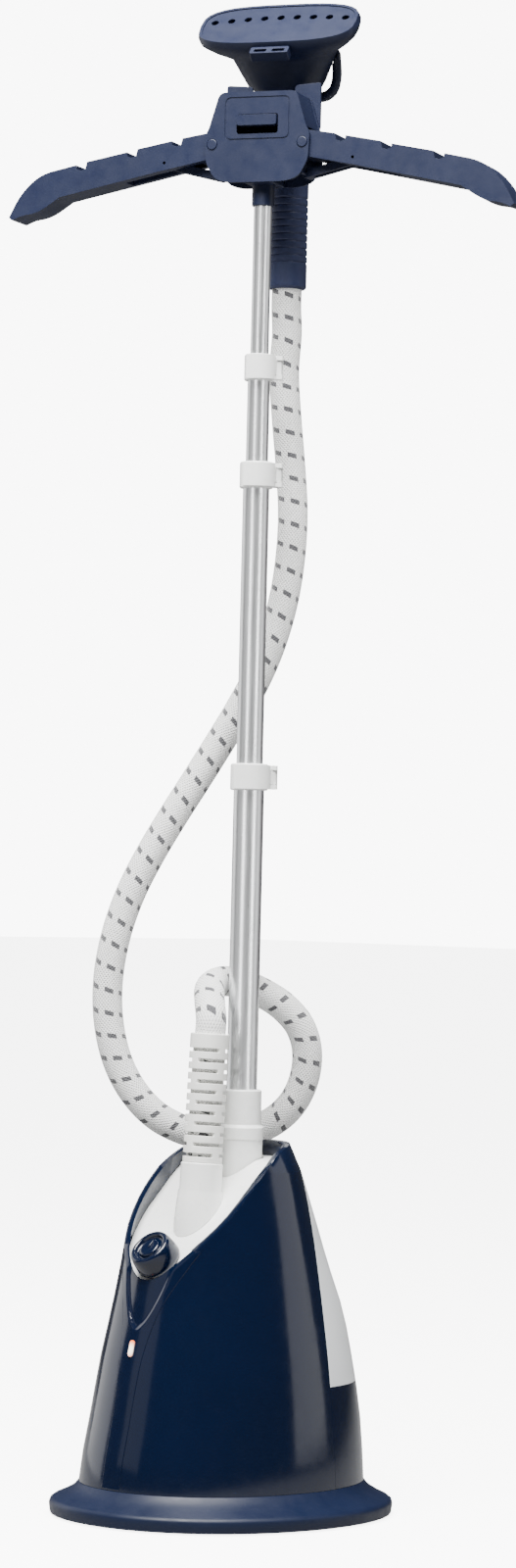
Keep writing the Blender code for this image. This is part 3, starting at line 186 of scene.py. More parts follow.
def swept(name, points, frames, radii, travel, sides=32, capped=False):
    """Tube skin through the points, with a map of turns round and metres along."""
    verts, faces, maps = [], [], []
    for p, (side, up), r in zip(points, frames, radii):
        for k in range(sides):
            a = 2 * math.pi * k / sides
            verts.append(p + (side * math.cos(a) + up * math.sin(a)) * r)
    for i in range(len(points) - 1):
        for k in range(sides):
            j = (k + 1) % sides
            faces.append((i * sides + k, i * sides + j, (i + 1) * sides + j,
                          (i + 1) * sides + k))
            u0, u1 = k / sides, (k + 1) / sides
            maps += [(u0, travel[i]), (u1, travel[i]), (u1, travel[i + 1]),
                     (u0, travel[i + 1])]
    if capped:
        faces += [tuple(reversed(range(sides))),
                  tuple(range(len(verts) - sides, len(verts)))]
        maps += [(0.5, travel[0])] * sides + [(0.5, travel[-1])] * sides
    mesh = bpy.data.meshes.new(name)
    mesh.from_pydata(verts, [], faces)
    layer = mesh.uv_layers.new(name="run")
    layer.data.foreach_set("uv", [v for pair in maps for v in pair])
    for polygon in mesh.polygons:
        polygon.use_smooth = len(polygon.vertices) == 4
    mesh.update()
    obj = bpy.data.objects.new(name, mesh)
    scene.collection.objects.link(obj)
    return obj


def hose_at(distance):
    """Point of the hose at a distance from the sleeve's top."""
    k = int(np.clip(np.searchsorted(run, distance), 1, len(run) - 1))
    t = (distance - run[k - 1]) / (run[k] - run[k - 1])
    return fine[k - 1].lerp(fine[k], min(max(t, 0.0), 1.0))


# %% Hose lengths
joins = (0.0, 0.560, 0.940, 1.121, hose_length)
ring_step = 0.005
stations = []
for start, stop in zip(joins, joins[1:]):
    count = int(round((stop - start) / ring_step))
    stations += [start + (stop - start) * i / count for i in range(count)]
stations.append(hose_length)
hose_line = [hose_at(s) for s in stations]
hose_frames = frames_on(hose_line)
hose_pieces = []
for k, (start, stop) in enumerate(zip(joins, joins[1:])):
    first, last = stations.index(start), stations.index(stop)
    part = slice(first, last + 1)
    obj = swept("hose_length_%d" % (k + 1), hose_line[part], hose_frames[part],
                [hose_diameter / 2] * (last + 1 - first), stations[part])
    hose_pieces.append((obj, start, stop, hose_line[part]))
    print(obj.name, "from", [round(v, 3) for v in hose_at(start)],
          "to", [round(v, 3) for v in hose_at(stop)])

# %% [markdown]
# ## How the finishes are written
# Every finish starts from the real material: what it is called, how its surface was made
# and what that does to light. Colours are written as the hex values that a colour chart
# gives, and one function turns them into the linear values that the shader works in.
# A second function adds any node, with its settings and its links, so each recipe reads
# as a short list.

# %% Colour and node helpers


def linear(hex_value):
    """sRGB hex colour to linear red, green, blue and alpha."""
    channels = [int(hex_value[i:i + 2], 16) / 255 for i in (1, 3, 5)]
    return (*[c / 12.92 if c <= 0.04045 else ((c + 0.055) / 1.055) ** 2.4
              for c in channels], 1.0)


def add(tree, kind, settings=None, inputs=None):
    """Adds a node: its settings by name, its inputs as values or as sockets to link."""
    node = tree.nodes.new(kind)
    for name, value in (settings or {}).items():
        setattr(node, name, value)
    for name, value in (inputs or {}).items():
        if isinstance(value, bpy.types.NodeSocket):
            tree.links.new(value, node.inputs[name])
        else:
            node.inputs[name].default_value = value
    return node


def new_finish(name, **values):
    """A material whose shader takes fixed values by input name."""
    material = bpy.data.materials.new(name)
    material.use_nodes = True
    shader = material.node_tree.nodes["Principled BSDF"]
    for key, value in values.items():
        shader.inputs[key.replace("_", " ")].default_value = value
    return material, material.node_tree, shader


per_mm = 1000.0             # a noise scale of 1000 repeats about once a millimetre


def moulded(name, colour, shade, rough, rough_range, grain_mm, grain_depth, ior=1.53, **more):
    """Injection moulded plastic: faint colour drift, uneven gloss and a fine grain."""
    material, tree, shader = new_finish(name, IOR=ior, **more)
    place = add(tree, "ShaderNodeTexCoord").outputs["Object"]
    drift = add(tree, "ShaderNodeTexNoise", None,
                {"Vector": place, "Scale": per_mm / 60, "Detail": 2.0})
    wear = add(tree, "ShaderNodeTexNoise", None,
               {"Vector": place, "Scale": per_mm / 14, "Detail": 5.0, "Roughness": 0.6})
    grain = add(tree, "ShaderNodeTexNoise", None,
                {"Vector": place, "Scale": per_mm / grain_mm, "Detail": 2.0})
    tint = add(tree, "ShaderNodeMix", {"data_type": "RGBA"},
               {"Factor": drift.outputs["Fac"], 6: linear(colour), 7: linear(shade)})
    gloss = add(tree, "ShaderNodeMapRange", None,
                {"Value": wear.outputs["Fac"], "From Min": 0.3, "From Max": 0.7,
                 "To Min": rough, "To Max": rough + rough_range})
    bump = add(tree, "ShaderNodeBump", None,
               {"Height": grain.outputs["Fac"], "Distance": grain_depth, "Strength": 1.0})
    tree.links.new(tint.outputs[2], shader.inputs["Base Color"])
    tree.links.new(gloss.outputs["Result"], shader.inputs["Roughness"])
    tree.links.new(bump.outputs["Normal"], shader.inputs["Normal"])
    return material


# %% [markdown]
# ## Plastics
# The base is acrylonitrile butadiene styrene (ABS) from a polished mould: it is glossy, with
# the faint wander in its reflections that moulders call orange peel. The hanger and the
# head are ABS from a spark-eroded mould, which leaves a fine satin grain. White trim has a
# little less gloss. Rubber and polypropylene are duller still. All have an index of
# refraction near 1.5, and only their gloss, colour and grain differ.

# %% Plastics
gloss_navy = moulded("gloss_abs_navy", "#030E26", "#020C21", 0.10, 0.06, 14.0, 0.00003)
satin_navy = moulded("satin_abs_navy", "#0A1532", "#09122B", 0.42, 0.12, 1.1, 0.00006,
                      Specular_IOR_Level=0.36)
grip_navy = moulded("soft_touch_tpe_navy", "#18244C", "#152042", 0.55, 0.12, 1.6, 0.00010)
trim_white = moulded("semi_gloss_abs_white", "#F4F5F3", "#EEEFEC", 0.24, 0.10, 5.0, 0.00008)
nylon_white = moulded("moulded_nylon_white", "#EEEEEA", "#E6E6E1", 0.38, 0.12, 1.8, 0.00008)
plate_black = moulded("textured_pp_black", "#17181B", "#121316", 0.55, 0.15, 1.5, 0.00015, 1.49)
skirt_navy = moulded("etched_abs_navy", "#06132F", "#051028", 0.42, 0.10, 3.0, 0.00005,
                      Specular_IOR_Level=0.3)
bay_navy = moulded("moulded_pp_navy", "#0B152C", "#091125", 0.42, 0.12, 2.0, 0.00010, 1.49)
foot_rubber = moulded("nitrile_rubber_black", "#101010", "#1A1A19", 0.80, 0.12, 0.9, 0.00012,
                      1.52)
valve_white = moulded("acetal_white", "#DDDDD8", "#D3D3CE", 0.30, 0.10, 2.5, 0.00006, 1.48)
water_silicone = moulded("clear_silicone_tube", "#C9CCCB", "#BFC3C2", 0.28, 0.10, 3.0, 0.00006,
                         1.41, Transmission_Weight=0.45)
print("plastics:", len(bpy.data.materials))

# %% [markdown]
# ## Frosted tank
# The tank is polypropylene from an etched mould. It lets light through but blurs it, so it
# reads as a pale grey, darker where the navy wall behind comes close. Partial transmission
# with a rough surface gives that, at less cost than a full glass.

# %% Frosted tank and lamp
tank_pp = moulded("frosted_pp_clear", "#EDEFF0", "#E4E7E9", 0.40, 0.12, 2.2, 0.00012, 1.49,
                  Transmission_Weight=0.16)

lamp_amber, tree, shader = new_finish("glowing_polycarbonate_amber", IOR=1.58, Roughness=0.2)
place = add(tree, "ShaderNodeTexCoord").outputs["Object"]
centre = add(tree, "ShaderNodeVectorMath", {"operation": "DISTANCE"}, {0: place})
centre.inputs[1].default_value = (0.0, -0.1272, 0.1655)
spread = add(tree, "ShaderNodeMapRange", None,
             {"Value": centre.outputs["Value"], "From Min": 0.003, "From Max": 0.0085})
warm = add(tree, "ShaderNodeMix", {"data_type": "RGBA"},
           {"Factor": spread.outputs["Result"], 6: linear("#FFF1DC"), 7: linear("#E8641E")})
tree.links.new(warm.outputs[2], shader.inputs["Base Color"])
tree.links.new(warm.outputs[2], shader.inputs["Emission Color"])
shader.inputs["Emission Strength"].default_value = 2.2

# %% [markdown]
# ## Metals
# The mast is drawn aluminium tube, brushed along its length and anodised clear. The brushing
# is finer than a tenth of a millimetre, so it is drawn about ten times too coarse here, as
# long thin streaks in gloss and height. The boiler is die-cast aluminium, duller and
# pebbled, and the steam pipe is drawn stainless steel.

# %% Metals


def streaked_metal(name, colour, shade, rough, rough_range, across_mm, along_mm, depth):
    """Metal with streaks that run up and down."""
    material, tree, shader = new_finish(name, Metallic=1.0)
    place = add(tree, "ShaderNodeTexCoord").outputs["Object"]
    stretch = add(tree, "ShaderNodeMapping", None, {"Vector": place})
    stretch.inputs["Scale"].default_value = (per_mm / across_mm, per_mm / across_mm,
                                             per_mm / along_mm)
    streaks = add(tree, "ShaderNodeTexNoise", None,
                  {"Vector": stretch.outputs["Vector"], "Scale": 1.0, "Detail": 4.0,
                   "Roughness": 0.65})
    tint = add(tree, "ShaderNodeMix", {"data_type": "RGBA"},
               {"Factor": streaks.outputs["Fac"], 6: linear(colour), 7: linear(shade)})
    gloss = add(tree, "ShaderNodeMapRange", None,
                {"Value": streaks.outputs["Fac"], "From Min": 0.3, "From Max": 0.7,
                 "To Min": rough, "To Max": rough + rough_range})
    bump = add(tree, "ShaderNodeBump", None,
               {"Height": streaks.outputs["Fac"], "Distance": depth})
    tree.links.new(tint.outputs[2], shader.inputs["Base Color"])
    tree.links.new(gloss.outputs["Result"], shader.inputs["Roughness"])
    tree.links.new(bump.outputs["Normal"], shader.inputs["Normal"])
    return material


mast_aluminium = streaked_metal("anodised_aluminium_brushed", "#F0F1F2", "#E0E2E4", 0.27, 0.12,
                                0.9, 60.0, 0.000012)
boiler_cast = streaked_metal("die_cast_aluminium", "#A9ABAD", "#939598", 0.42, 0.16, 1.4, 1.4,
                             0.00025)
steel_drawn = streaked_metal("drawn_stainless_steel", "#C6C4C0", "#B4B2AF", 0.20, 0.10, 0.8,
                             30.0, 0.00001)
spindle_zinc = streaked_metal("plated_zinc", "#BDBFC2", "#A8AAAD", 0.28, 0.12, 1.2, 2.5,
                              0.00004)

# %% [markdown]
# ## Hose braid
# The hose wears a braided polyester sock: white yarns cross in two spirals, and a dark grey
# tracer yarn shows on top every 23 mm, as short slanted flecks in six files round the hose.
# The yarn is about 0.6 mm wide, and is drawn at 1.6 mm so that the weave still shows. The
# pattern reads the skin's own map: turns round, and metres along.

# %% Hose braid
fleck_files = 6
fleck_pitch = 0.023
yarn_width = 0.0016
girth = math.pi * hose_diameter
braid, tree, shader = new_finish("braided_polyester_white", IOR=1.52, Sheen_Weight=0.35,
                                 Sheen_Roughness=0.5)


crossings = round(girth / (2 * yarn_width))
maths = "ShaderNodeMath"
run_map = add(tree, "ShaderNodeUVMap", {"uv_map": "run"})
split = add(tree, "ShaderNodeSeparateXYZ", None, {"Vector": run_map.outputs["UV"]})
turns, metres = split.outputs["X"], split.outputs["Y"]
round_phase = add(tree, maths, {"operation": "MULTIPLY"},
                  {0: turns, 1: 2 * math.pi * crossings}).outputs[0]
along_phase = add(tree, maths, {"operation": "MULTIPLY"},
                  {0: metres, 1: 2 * math.pi * 0.8 / (2 * yarn_width)}).outputs[0]
yarns = []
for spiral in ("ADD", "SUBTRACT"):
    phase = add(tree, maths, {"operation": spiral}, {0: round_phase, 1: along_phase})
    yarns.append(add(tree, maths, {"operation": "SINE"}, {0: phase.outputs[0]}).outputs[0])
weave = add(tree, maths, {"operation": "MAXIMUM"}, {0: yarns[0], 1: yarns[1]}).outputs[0]

# %% Hose braid: flecks
file_place = add(tree, maths, {"operation": "MULTIPLY"}, {0: turns, 1: fleck_files}).outputs[0]
in_file = add(tree, maths, {"operation": "FRACT"}, {0: file_place}).outputs[0]
file_number = add(tree, maths, {"operation": "FLOOR"}, {0: file_place}).outputs[0]
lean = add(tree, maths, {"operation": "MULTIPLY"}, {0: in_file, 1: 0.22}).outputs[0]
lean_and_step = add(tree, maths, {"operation": "MULTIPLY_ADD"},
                    {0: file_number, 1: 1 / fleck_files, 2: lean}).outputs[0]
place_along = add(tree, maths, {"operation": "MULTIPLY_ADD"},
                  {0: metres, 1: 1 / fleck_pitch, 2: lean_and_step}).outputs[0]
along_fleck = add(tree, maths, {"operation": "FRACT"}, {0: place_along}).outputs[0]
near_round = add(tree, maths, {"operation": "COMPARE"}, {0: in_file, 1: 0.5, 2: 0.29}).outputs[0]
near_along = add(tree, maths, {"operation": "COMPARE"},
                 {0: along_fleck, 1: 0.5, 2: 0.105}).outputs[0]
fleck = add(tree, maths, {"operation": "MULTIPLY"}, {0: near_round, 1: near_along}).outputs[0]

# %% Hose braid: colour, painted shade between the yarns, and height
yarn_noise = add(tree, "ShaderNodeTexNoise", None,
                 {"Vector": add(tree, "ShaderNodeTexCoord").outputs["Object"],
                  "Scale": per_mm / 2.5, "Detail": 3.0})
white_yarn = add(tree, "ShaderNodeMix", {"data_type": "RGBA"},
                 {"Factor": yarn_noise.outputs["Fac"], 6: linear("#EFEFED"),
                  7: linear("#E0E0DE")})
# Painted shade: the white yarn colour is darkened by up to a fifth where the yarns dip between
# crossings.
painted_yarn_shade = add(tree, "ShaderNodeMapRange", None,
              {"Value": weave, "From Min": -0.9, "From Max": 0.5, "To Min": 0.80, "To Max": 1.0})
shaded = add(tree, "ShaderNodeMix", {"data_type": "RGBA", "blend_type": "MULTIPLY"},
             {"Factor": 1.0, 6: white_yarn.outputs[2], 7: painted_yarn_shade.outputs["Result"]})
dyed = add(tree, "ShaderNodeMix", {"data_type": "RGBA"},
           {"Factor": fleck, 6: shaded.outputs[2], 7: linear("#4A4A4D")})
height = add(tree, maths, {"operation": "MULTIPLY_ADD"},
             {0: yarn_noise.outputs["Fac"], 1: 0.6, 2: weave}).outputs[0]
bump = add(tree, "ShaderNodeBump", None, {"Height": height, "Distance": 0.00035})
tree.links.new(dyed.outputs[2], shader.inputs["Base Color"])
tree.links.new(bump.outputs["Normal"], shader.inputs["Normal"])
shader.inputs["Roughness"].default_value = 0.78
print("braid yarns round the hose:", crossings)

# %% [markdown]
# The four lengths follow one another: each starts where the one before it ends. Each is paired with
# the two bodies that its mast slide joins. The first turns over beside the sleeve, hangs in a loop
# that sinks beside the base as slack does, and climbs on its left side.

# %% Hose end inside the sleeve
tail_foot = sleeve_foot + sleeve_axis * 0.038
tail_line = [tail_foot.lerp(sleeve_head, k / 10) for k in range(11)]
tail = swept("hose_end_in_sleeve", tail_line, frames_on(tail_line), [0.0148] * 11,
             [(p - sleeve_head).dot(sleeve_axis) for p in tail_line])
tail.data.materials.append(braid)
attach(tail, "base")

# %% Hose on the frame
hose_bodies = (("base", "mast_2"), ("mast_2", "mast_3"), ("mast_3", "hanger"),
               ("hanger", "steam_head"))
for (obj, start, stop, line), (low_body, high_body), k in zip(hose_pieces, hose_bodies,
                                                              range(4)):
    obj.data.materials.append(braid)
    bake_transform(obj)
    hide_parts("steam_hose_%d" % (k + 1))
    print(obj.name, "bends between", low_body, "and", high_body)

# %% [markdown]
# ## Skins for the machined shapes
# The frame's parts have the right sizes but flat facets and knife-sharp edges. A real
# moulding has smooth curves and a small radius on every edge, which is what catches the
# light. Remodelling each part from nothing would risk its size. Instead its faces are
# joined, shaded smooth up to a crease angle, and its sharp edges are rounded by a few tenths
# of a millimetre. The new skin then stands for the part.

# %% Skins


def skin(node, finish, edge=0.0004, crease=32, shape=None):
    """A smooth, softly edged skin that stands for one part and rides on its body."""
    source = nodes[node]
    mesh = source.data.copy()
    mesh.name = node + "_skin"
    work = bmesh.new()
    work.from_mesh(mesh)
    bmesh.ops.remove_doubles(work, verts=work.verts, dist=0.00002)
    bmesh.ops.dissolve_limit(work, angle_limit=math.radians(0.4), verts=work.verts,
                             edges=work.edges)
    if edge:
        sharp = [e for e in work.edges if len(e.link_faces) == 2
                 and e.calc_face_angle(0) > math.radians(crease)]
        bmesh.ops.bevel(work, geom=sharp, offset=edge, offset_type="OFFSET", segments=2,
                        profile=0.5, affect="EDGES", clamp_overlap=True)
    for face in work.faces:
        face.smooth = True
    work.to_mesh(mesh)
    work.free()
    mesh.set_sharp_from_angle(angle=math.radians(crease + 14 if edge else crease))
    mesh.materials.clear()
    mesh.materials.append(finish)
    obj = bpy.data.objects.new(node + "_skin", mesh)
    scene.collection.objects.link(obj)
    if shape:
        shape(mesh)
    if shape is not flowing:
        weigh = obj.modifiers.new("flat_faces_stay_flat", "WEIGHTED_NORMAL")
        weigh.keep_sharp = True
        weigh.weight = 85
    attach(obj, source["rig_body"])
    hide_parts(node)
    return obj


# %% [markdown]
# ## Glossy body
# On a glossy surface the eye reads the reflections, and they break wherever two facets meet
# at the wrong angle. The body is a squared oval whose half width and depths change with
# height, so the true direction of its surface is known at every point. Each outer face is
# given that direction instead of its own, and the reflections flow as on the real moulding.

# %% Body form
body_half = (0.1225, 0.151, 0.151)
skirt_top, body_height, body_fullness = 0.033, 0.333, 2.08
body_form = np.array((
    (0.00, 1.000, 1.000, 1.000), (0.08, 0.985, 0.975, 0.990), (0.20, 0.947, 0.920, 0.970),
    (0.35, 0.895, 0.862, 0.905), (0.50, 0.825, 0.788, 0.820), (0.65, 0.755, 0.728, 0.662),
    (0.80, 0.680, 0.692, 0.520), (0.90, 0.620, 0.668, 0.425), (0.96, 0.575, 0.640, 0.385),
    (1.00, 0.500, 0.580, 0.335)))


def form_at(height):
    """Half width, front and rear depth of the body at a height."""
    share = min(max((height - skirt_top) / body_height, 0.0), 1.0)
    at = min(max(int(np.searchsorted(body_form[:, 0], share)) - 1, 0), len(body_form) - 2)
    low, high = body_form[at], body_form[at + 1]
    before, after = body_form[max(at - 1, 0)], body_form[min(at + 2, len(body_form) - 1)]
    span = high[0] - low[0]
    t = (share - low[0]) / span
    m0 = (high - before) / (high[0] - before[0]) * span
    m1 = (after - low) / (after[0] - low[0]) * span
    values = ((2 * t ** 3 - 3 * t * t + 1) * low + (t ** 3 - 2 * t * t + t) * m0
              + (-2 * t ** 3 + 3 * t * t) * high + (t ** 3 - t * t) * m1)
    return [float(v * h) for v, h in zip(values[1:], body_half)]


def fullness_at(x, y, z):
    """One on the body's surface, less inside it."""
    half_width, front, rear = form_at(z)
    depth = rear if y > 0 else front
    return (abs(x) / half_width) ** body_fullness + (abs(y) / depth) ** body_fullness


def form_direction(p):
    """Outward direction of the body form at a point."""
    h = 0.0004
    grow = Vector((fullness_at(p.x + h, p.y, p.z) - fullness_at(p.x - h, p.y, p.z),
                   fullness_at(p.x, p.y + h, p.z) - fullness_at(p.x, p.y - h, p.z),
                   fullness_at(p.x, p.y, p.z + h) - fullness_at(p.x, p.y, p.z - h)))
    return grow.normalized()


def flowing(mesh):
    """Gives the body's outer faces the form's own directions."""
    directions = [Vector((0, 0, 0))] * len(mesh.loops)
    changed = 0
    for polygon in mesh.polygons:
        middle = polygon.center
        if abs(fullness_at(*middle) - 1) > 0.06:
            continue
        if polygon.normal.dot(form_direction(middle)) < 0.965:
            continue
        changed += 1
        for loop in polygon.loop_indices:
            directions[loop] = form_direction(mesh.vertices[mesh.loops[loop].vertex_index].co)
    mesh.normals_split_custom_set(directions)
    print(mesh.name, "outer faces:", changed, "of", len(mesh.polygons))


# %% Base skins
for node in ("side_shell_right", "side_shell_left", "rear_shell", "top_bridge"):
    skin(node, gloss_navy, 0.0009, 34, flowing)
skin("water_tank", tank_pp, 0.0012, 34, flowing)


def lower_lip(mesh):
    """Brings the skirt's lip down over the feet, as the moulding hides them."""
    for vertex in mesh.vertices:
        if vertex.co.z < 0.0075:
            vertex.co.z -= 0.0042


skin("base_skirt", skirt_navy, 0.0005, 40, lower_lip)
skin("front_panel", trim_white, 0.0005, 30)
skin("bottom_plate", plate_black, 0.0006)
for word in ("front_right", "front_left", "rear_right", "rear_left"):
    skin("foot_" + word, foot_rubber, 0.0)
for node, finish in (("tank_cap", bay_navy), ("tank_valve", valve_white),
                     ("tank_bay_wall", bay_navy), ("mast_mount", plate_black),
                     ("boiler", boiler_cast), ("steam_pipe", steel_drawn),
                     ("water_pipe", water_silicone), ("cord_gland", plate_black),
                     ("hose_inlet", plate_black), ("knob_shaft", spindle_zinc),
                     ("hose_cuff", trim_white), ("mast_socket", trim_white)):
    skin(node, finish, 0.0003)
skin("hose_sleeve", nylon_white, 0.0005, 34)

# %% [markdown]
# ## Front column
# The narrow column at the front carries the lamp. It widens as it climbs, and has a shallow
# thumb-shaped scoop under the white panel's tip. A scoop pressed into boolean faces would
# need many more of them, so the column is a fine grid laid on the body form: each row
# follows the column's width, and its top row ends on the rim's crest. Grid points inside the
# scoop move inward by up to two millimetres.

# %% Front column grid
crest_route = ((-0.230, 0.150), (-0.150, 0.196), (-0.1175, 0.2215), (-0.103, 0.246),
               (-0.087, 0.268), (-0.066, 0.292), (-0.041, 0.320), (-0.017, 0.342),
               (0.006, 0.356), (0.035, 0.3625), (0.080, 0.364), (0.150, 0.364))
column_route = ((0.0120, 0.020), (0.0122, 0.070), (0.0130, 0.120), (0.0155, 0.160),
                (0.0210, 0.190), (0.0300, 0.215), (0.0420, 0.238), (0.0540, 0.262))
crest_line = np.array([(p.x, p.y) for p in smooth_path([(*r, 0) for r in crest_route], 31)])
column_line = np.array([(p.x, p.y) for p in smooth_path([(*r, 0) for r in column_route], 22)])


def crest_height(y):
    """Height of the rim's crest at a depth."""
    return float(np.interp(y, crest_line[:, 0], crest_line[:, 1]))


def column_spot(share, z, inset=0.0):
    """Point of the column at a height; share runs from -1 to 1 across it."""
    x = share * float(np.interp(z, column_line[:, 1], column_line[:, 0]))
    half_width, front, _ = form_at(z)
    edge = 1 - (abs(x) / (half_width - inset)) ** body_fullness
    return Vector((x, -(front - inset) * edge ** (1 / body_fullness), z))


def column_top(share):
    """Height at which the column meets the crest."""
    low, high = skirt_top, 0.262
    for _ in range(24):
        middle = (low + high) / 2
        if middle > crest_height(column_spot(share, middle).y):
            high = middle
        else:
            low = middle
    return low


def scoop_depth(x, z):
    """How far the scoop goes in: nothing outside its thumb-shaped edge."""
    rise = (z - 0.186) / 0.030
    if rise <= 0:
        return 0.0
    edge = 0.0235 * math.sqrt(rise)
    inside = min(max((edge - abs(x)) / 0.0045, 0.0), 1.0)
    return 0.0022 * inside * inside * (3 - 2 * inside)


# %% Front column skin
levels, files = 90, 44
shares = [2 * k / files - 1 for k in range(files + 1)]
rows = []
for level in range(levels + 1):
    row = []
    for share in shares:
        z = skirt_top + (column_top(share) - skirt_top) * level / levels
        p = column_spot(share, z)
        row.append(p - form_direction(p) * scoop_depth(p.x, z))
    row.insert(0, column_spot(-1, row[0].z, 0.0035))
    row.append(column_spot(1, row[-1].z, 0.0035))
    rows.append(row)
rows.insert(0, [p - form_direction(p) * 0.0035 for p in rows[0]])
rim_row = []
for p in rows[-1]:
    half_width, front, _ = form_at(p.z)
    pull = ((abs(p.x) / (half_width - 0.0075)) ** body_fullness
            + (abs(p.y) / (front - 0.0036)) ** body_fullness) ** (-1 / body_fullness)
    rim_row.append(Vector((p.x * pull, p.y * pull, max(crest_height(p.y * pull), p.z))))
rows.append(rim_row)
rows.append([p - Vector((0, 0, 0.012)) for p in rim_row])
wide = len(rows[0])
column_mesh = bpy.data.meshes.new("front_column_skin")
column_mesh.from_pydata([p for row in rows for p in row], [], [
    (r * wide + k, r * wide + k + 1, (r + 1) * wide + k + 1, (r + 1) * wide + k)
    for r in range(len(rows) - 1) for k in range(wide - 1)])
work = bmesh.new()
work.from_mesh(column_mesh)
bmesh.ops.bevel(work, geom=[e for e in work.edges if len(e.link_faces) == 2
                            and e.calc_face_angle(0) > math.radians(45)],
                offset=0.0009, offset_type="OFFSET", segments=3, profile=0.5, affect="EDGES",
                clamp_overlap=True)
for face in work.faces:
    face.smooth = True
work.to_mesh(column_mesh)
work.free()
column_mesh.materials.append(gloss_navy)
column = bpy.data.objects.new("front_column_skin", column_mesh)
scene.collection.objects.link(column)
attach(column, "base")
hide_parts("front_column")
print("front column faces:", len(column_mesh.polygons))

# %% [markdown]
# ## Control knob
# The knob is a turned shape: a tapering wall, a rounded lip, a sunk ring and a raised
# centre. It is drawn as half its outline and spun round its axis. A small raised bar on the
# centre points to the setting.

# %% Control knob


def turned(name, profile, finish, place, steps=72):
    """Spins an outline of (radius, height) round its axis and puts it in place."""
    verts, faces = [], []
    for k in range(steps):
        a = 2 * math.pi * k / steps
        verts += [place @ Vector((r * math.cos(a), r * math.sin(a), h)) for r, h in profile]
    n = len(profile)
    for k in range(steps):
        j = (k + 1) % steps
        faces += [(k * n + i, j * n + i, j * n + i + 1, k * n + i + 1) for i in range(n - 1)]
    mesh = bpy.data.meshes.new(name)
    mesh.from_pydata(verts, [], faces)
    work = bmesh.new()
    work.from_mesh(mesh)
    bmesh.ops.remove_doubles(work, verts=work.verts, dist=0.00001)
    for face in work.faces:
        face.smooth = True
    work.to_mesh(mesh)
    work.free()
    mesh.set_sharp_from_angle(angle=math.radians(50))
    mesh.materials.append(finish)
    obj = bpy.data.objects.new(name, mesh)
    scene.collection.objects.link(obj)
    return obj


def pill(name, half_wide, half_long, low, high, finish, place, steps=8):
    """A small bar with round ends and a softened top edge."""
    outline = []
    for end in (0, math.pi):
        for i in range(steps + 1):
            a = end + math.pi * i / steps
            shift = (half_long - half_wide) * (1 if end == 0 else -1)
            outline.append((half_wide * math.cos(a), shift + half_wide * math.sin(a)))
    soft = half_wide * 0.35
    verts = []
    for h, pull in ((low, 0), (high - soft, 0), (high - soft * 0.3, soft * 0.3), (high, soft)):
        shrink = 1 - pull / half_wide
        verts += [place @ Vector((x * shrink, y - math.copysign(pull, y), h))
                  for x, y in outline]
    n = len(outline)
    faces = [(r * n + i, r * n + (i + 1) % n, (r + 1) * n + (i + 1) % n, (r + 1) * n + i)
             for r in range(3) for i in range(n)]
    faces.append(tuple(range(3 * n, 4 * n)))
    mesh = bpy.data.meshes.new(name)
    mesh.from_pydata(verts, [], faces)
    mesh.materials.append(finish)
    obj = bpy.data.objects.new(name, mesh)
    scene.collection.objects.link(obj)
    return obj


knob_out = Vector((0.0, -0.72, 0.694)).normalized()
knob_spot = Vector((0.0, -0.0905, 0.2475))
knob_place = Matrix.Translation(knob_spot) @ knob_out.to_track_quat("Z", "Y").to_matrix().to_4x4()
knob = turned("control_knob_skin", [
    (0.0052, 0.0024), (0.0160, 0.0022), (0.0221, 0.0020), (0.0227, 0.0028), (0.0228, 0.0050),
    (0.0226, 0.0090), (0.0221, 0.0140), (0.0214, 0.0185), (0.0207, 0.0212), (0.0196, 0.0230),
    (0.0180, 0.0238), (0.0164, 0.0235), (0.0155, 0.0225), (0.0151, 0.0206), (0.0142, 0.0197),
    (0.0120, 0.0197), (0.0112, 0.0203), (0.0108, 0.0218), (0.0101, 0.0228), (0.0088, 0.0232),
    (0.0050, 0.0228), (0, 0.0226)], gloss_navy, knob_place)
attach(knob, "knob")
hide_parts("control_knob")
lamp_out = Vector((0.0, -0.975, 0.222)).normalized()
lamp_place = (Matrix.Translation((0.0, -0.1272, 0.1670))
              @ lamp_out.to_track_quat("Z", "Y").to_matrix().to_4x4())
lamp = pill("indicator_lens_skin", 0.0026, 0.0080, -0.0020, 0.0012, lamp_amber, lamp_place)
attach(lamp, "base")
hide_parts("indicator_lens")
pointer = pill("knob_pointer", 0.0011, 0.0045, 0.0222, 0.0238, gloss_navy,
               knob_place @ Matrix.Translation((0, 0.0045, 0)))
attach(pointer, "knob")

# %% [markdown]
# ## Mast, clamps and hanger
# Four aluminium tubes slide into each other and white flip clamps hold them. The hanger is
# moulded in satin navy, and its arms, stays, latch and cradle are separate parts, so each
# keeps its own skin.

# %% Mast, clamps and hanger skins
mast = [skin("mast_tube_%d" % k, mast_aluminium, 0.0) for k in range(1, 5)]
for k in range(1, 4):
    skin("clamp_%d" % k, trim_white, 0.0005)
    skin("clamp_%d_lever" % k, trim_white, 0.0006)
for node in ("hanger_front_cover", "hanger_rear_cover", "hanger_collar", "latch_slider",
             "head_cradle", "arm_pin_right", "arm_pin_left", "stay_right", "stay_left",
             "accessory_clip", "nozzle_plate"):
    skin(node, satin_navy, 0.0006)
for node in ("arm_right", "arm_left"):
    skin(node, satin_navy, 0.0014, 40)
skin("head_shell", satin_navy, 0.0, 40)
skin("head_loop", satin_navy, 0.0, 60)
skin("steam_grip", grip_navy, 0.0003)

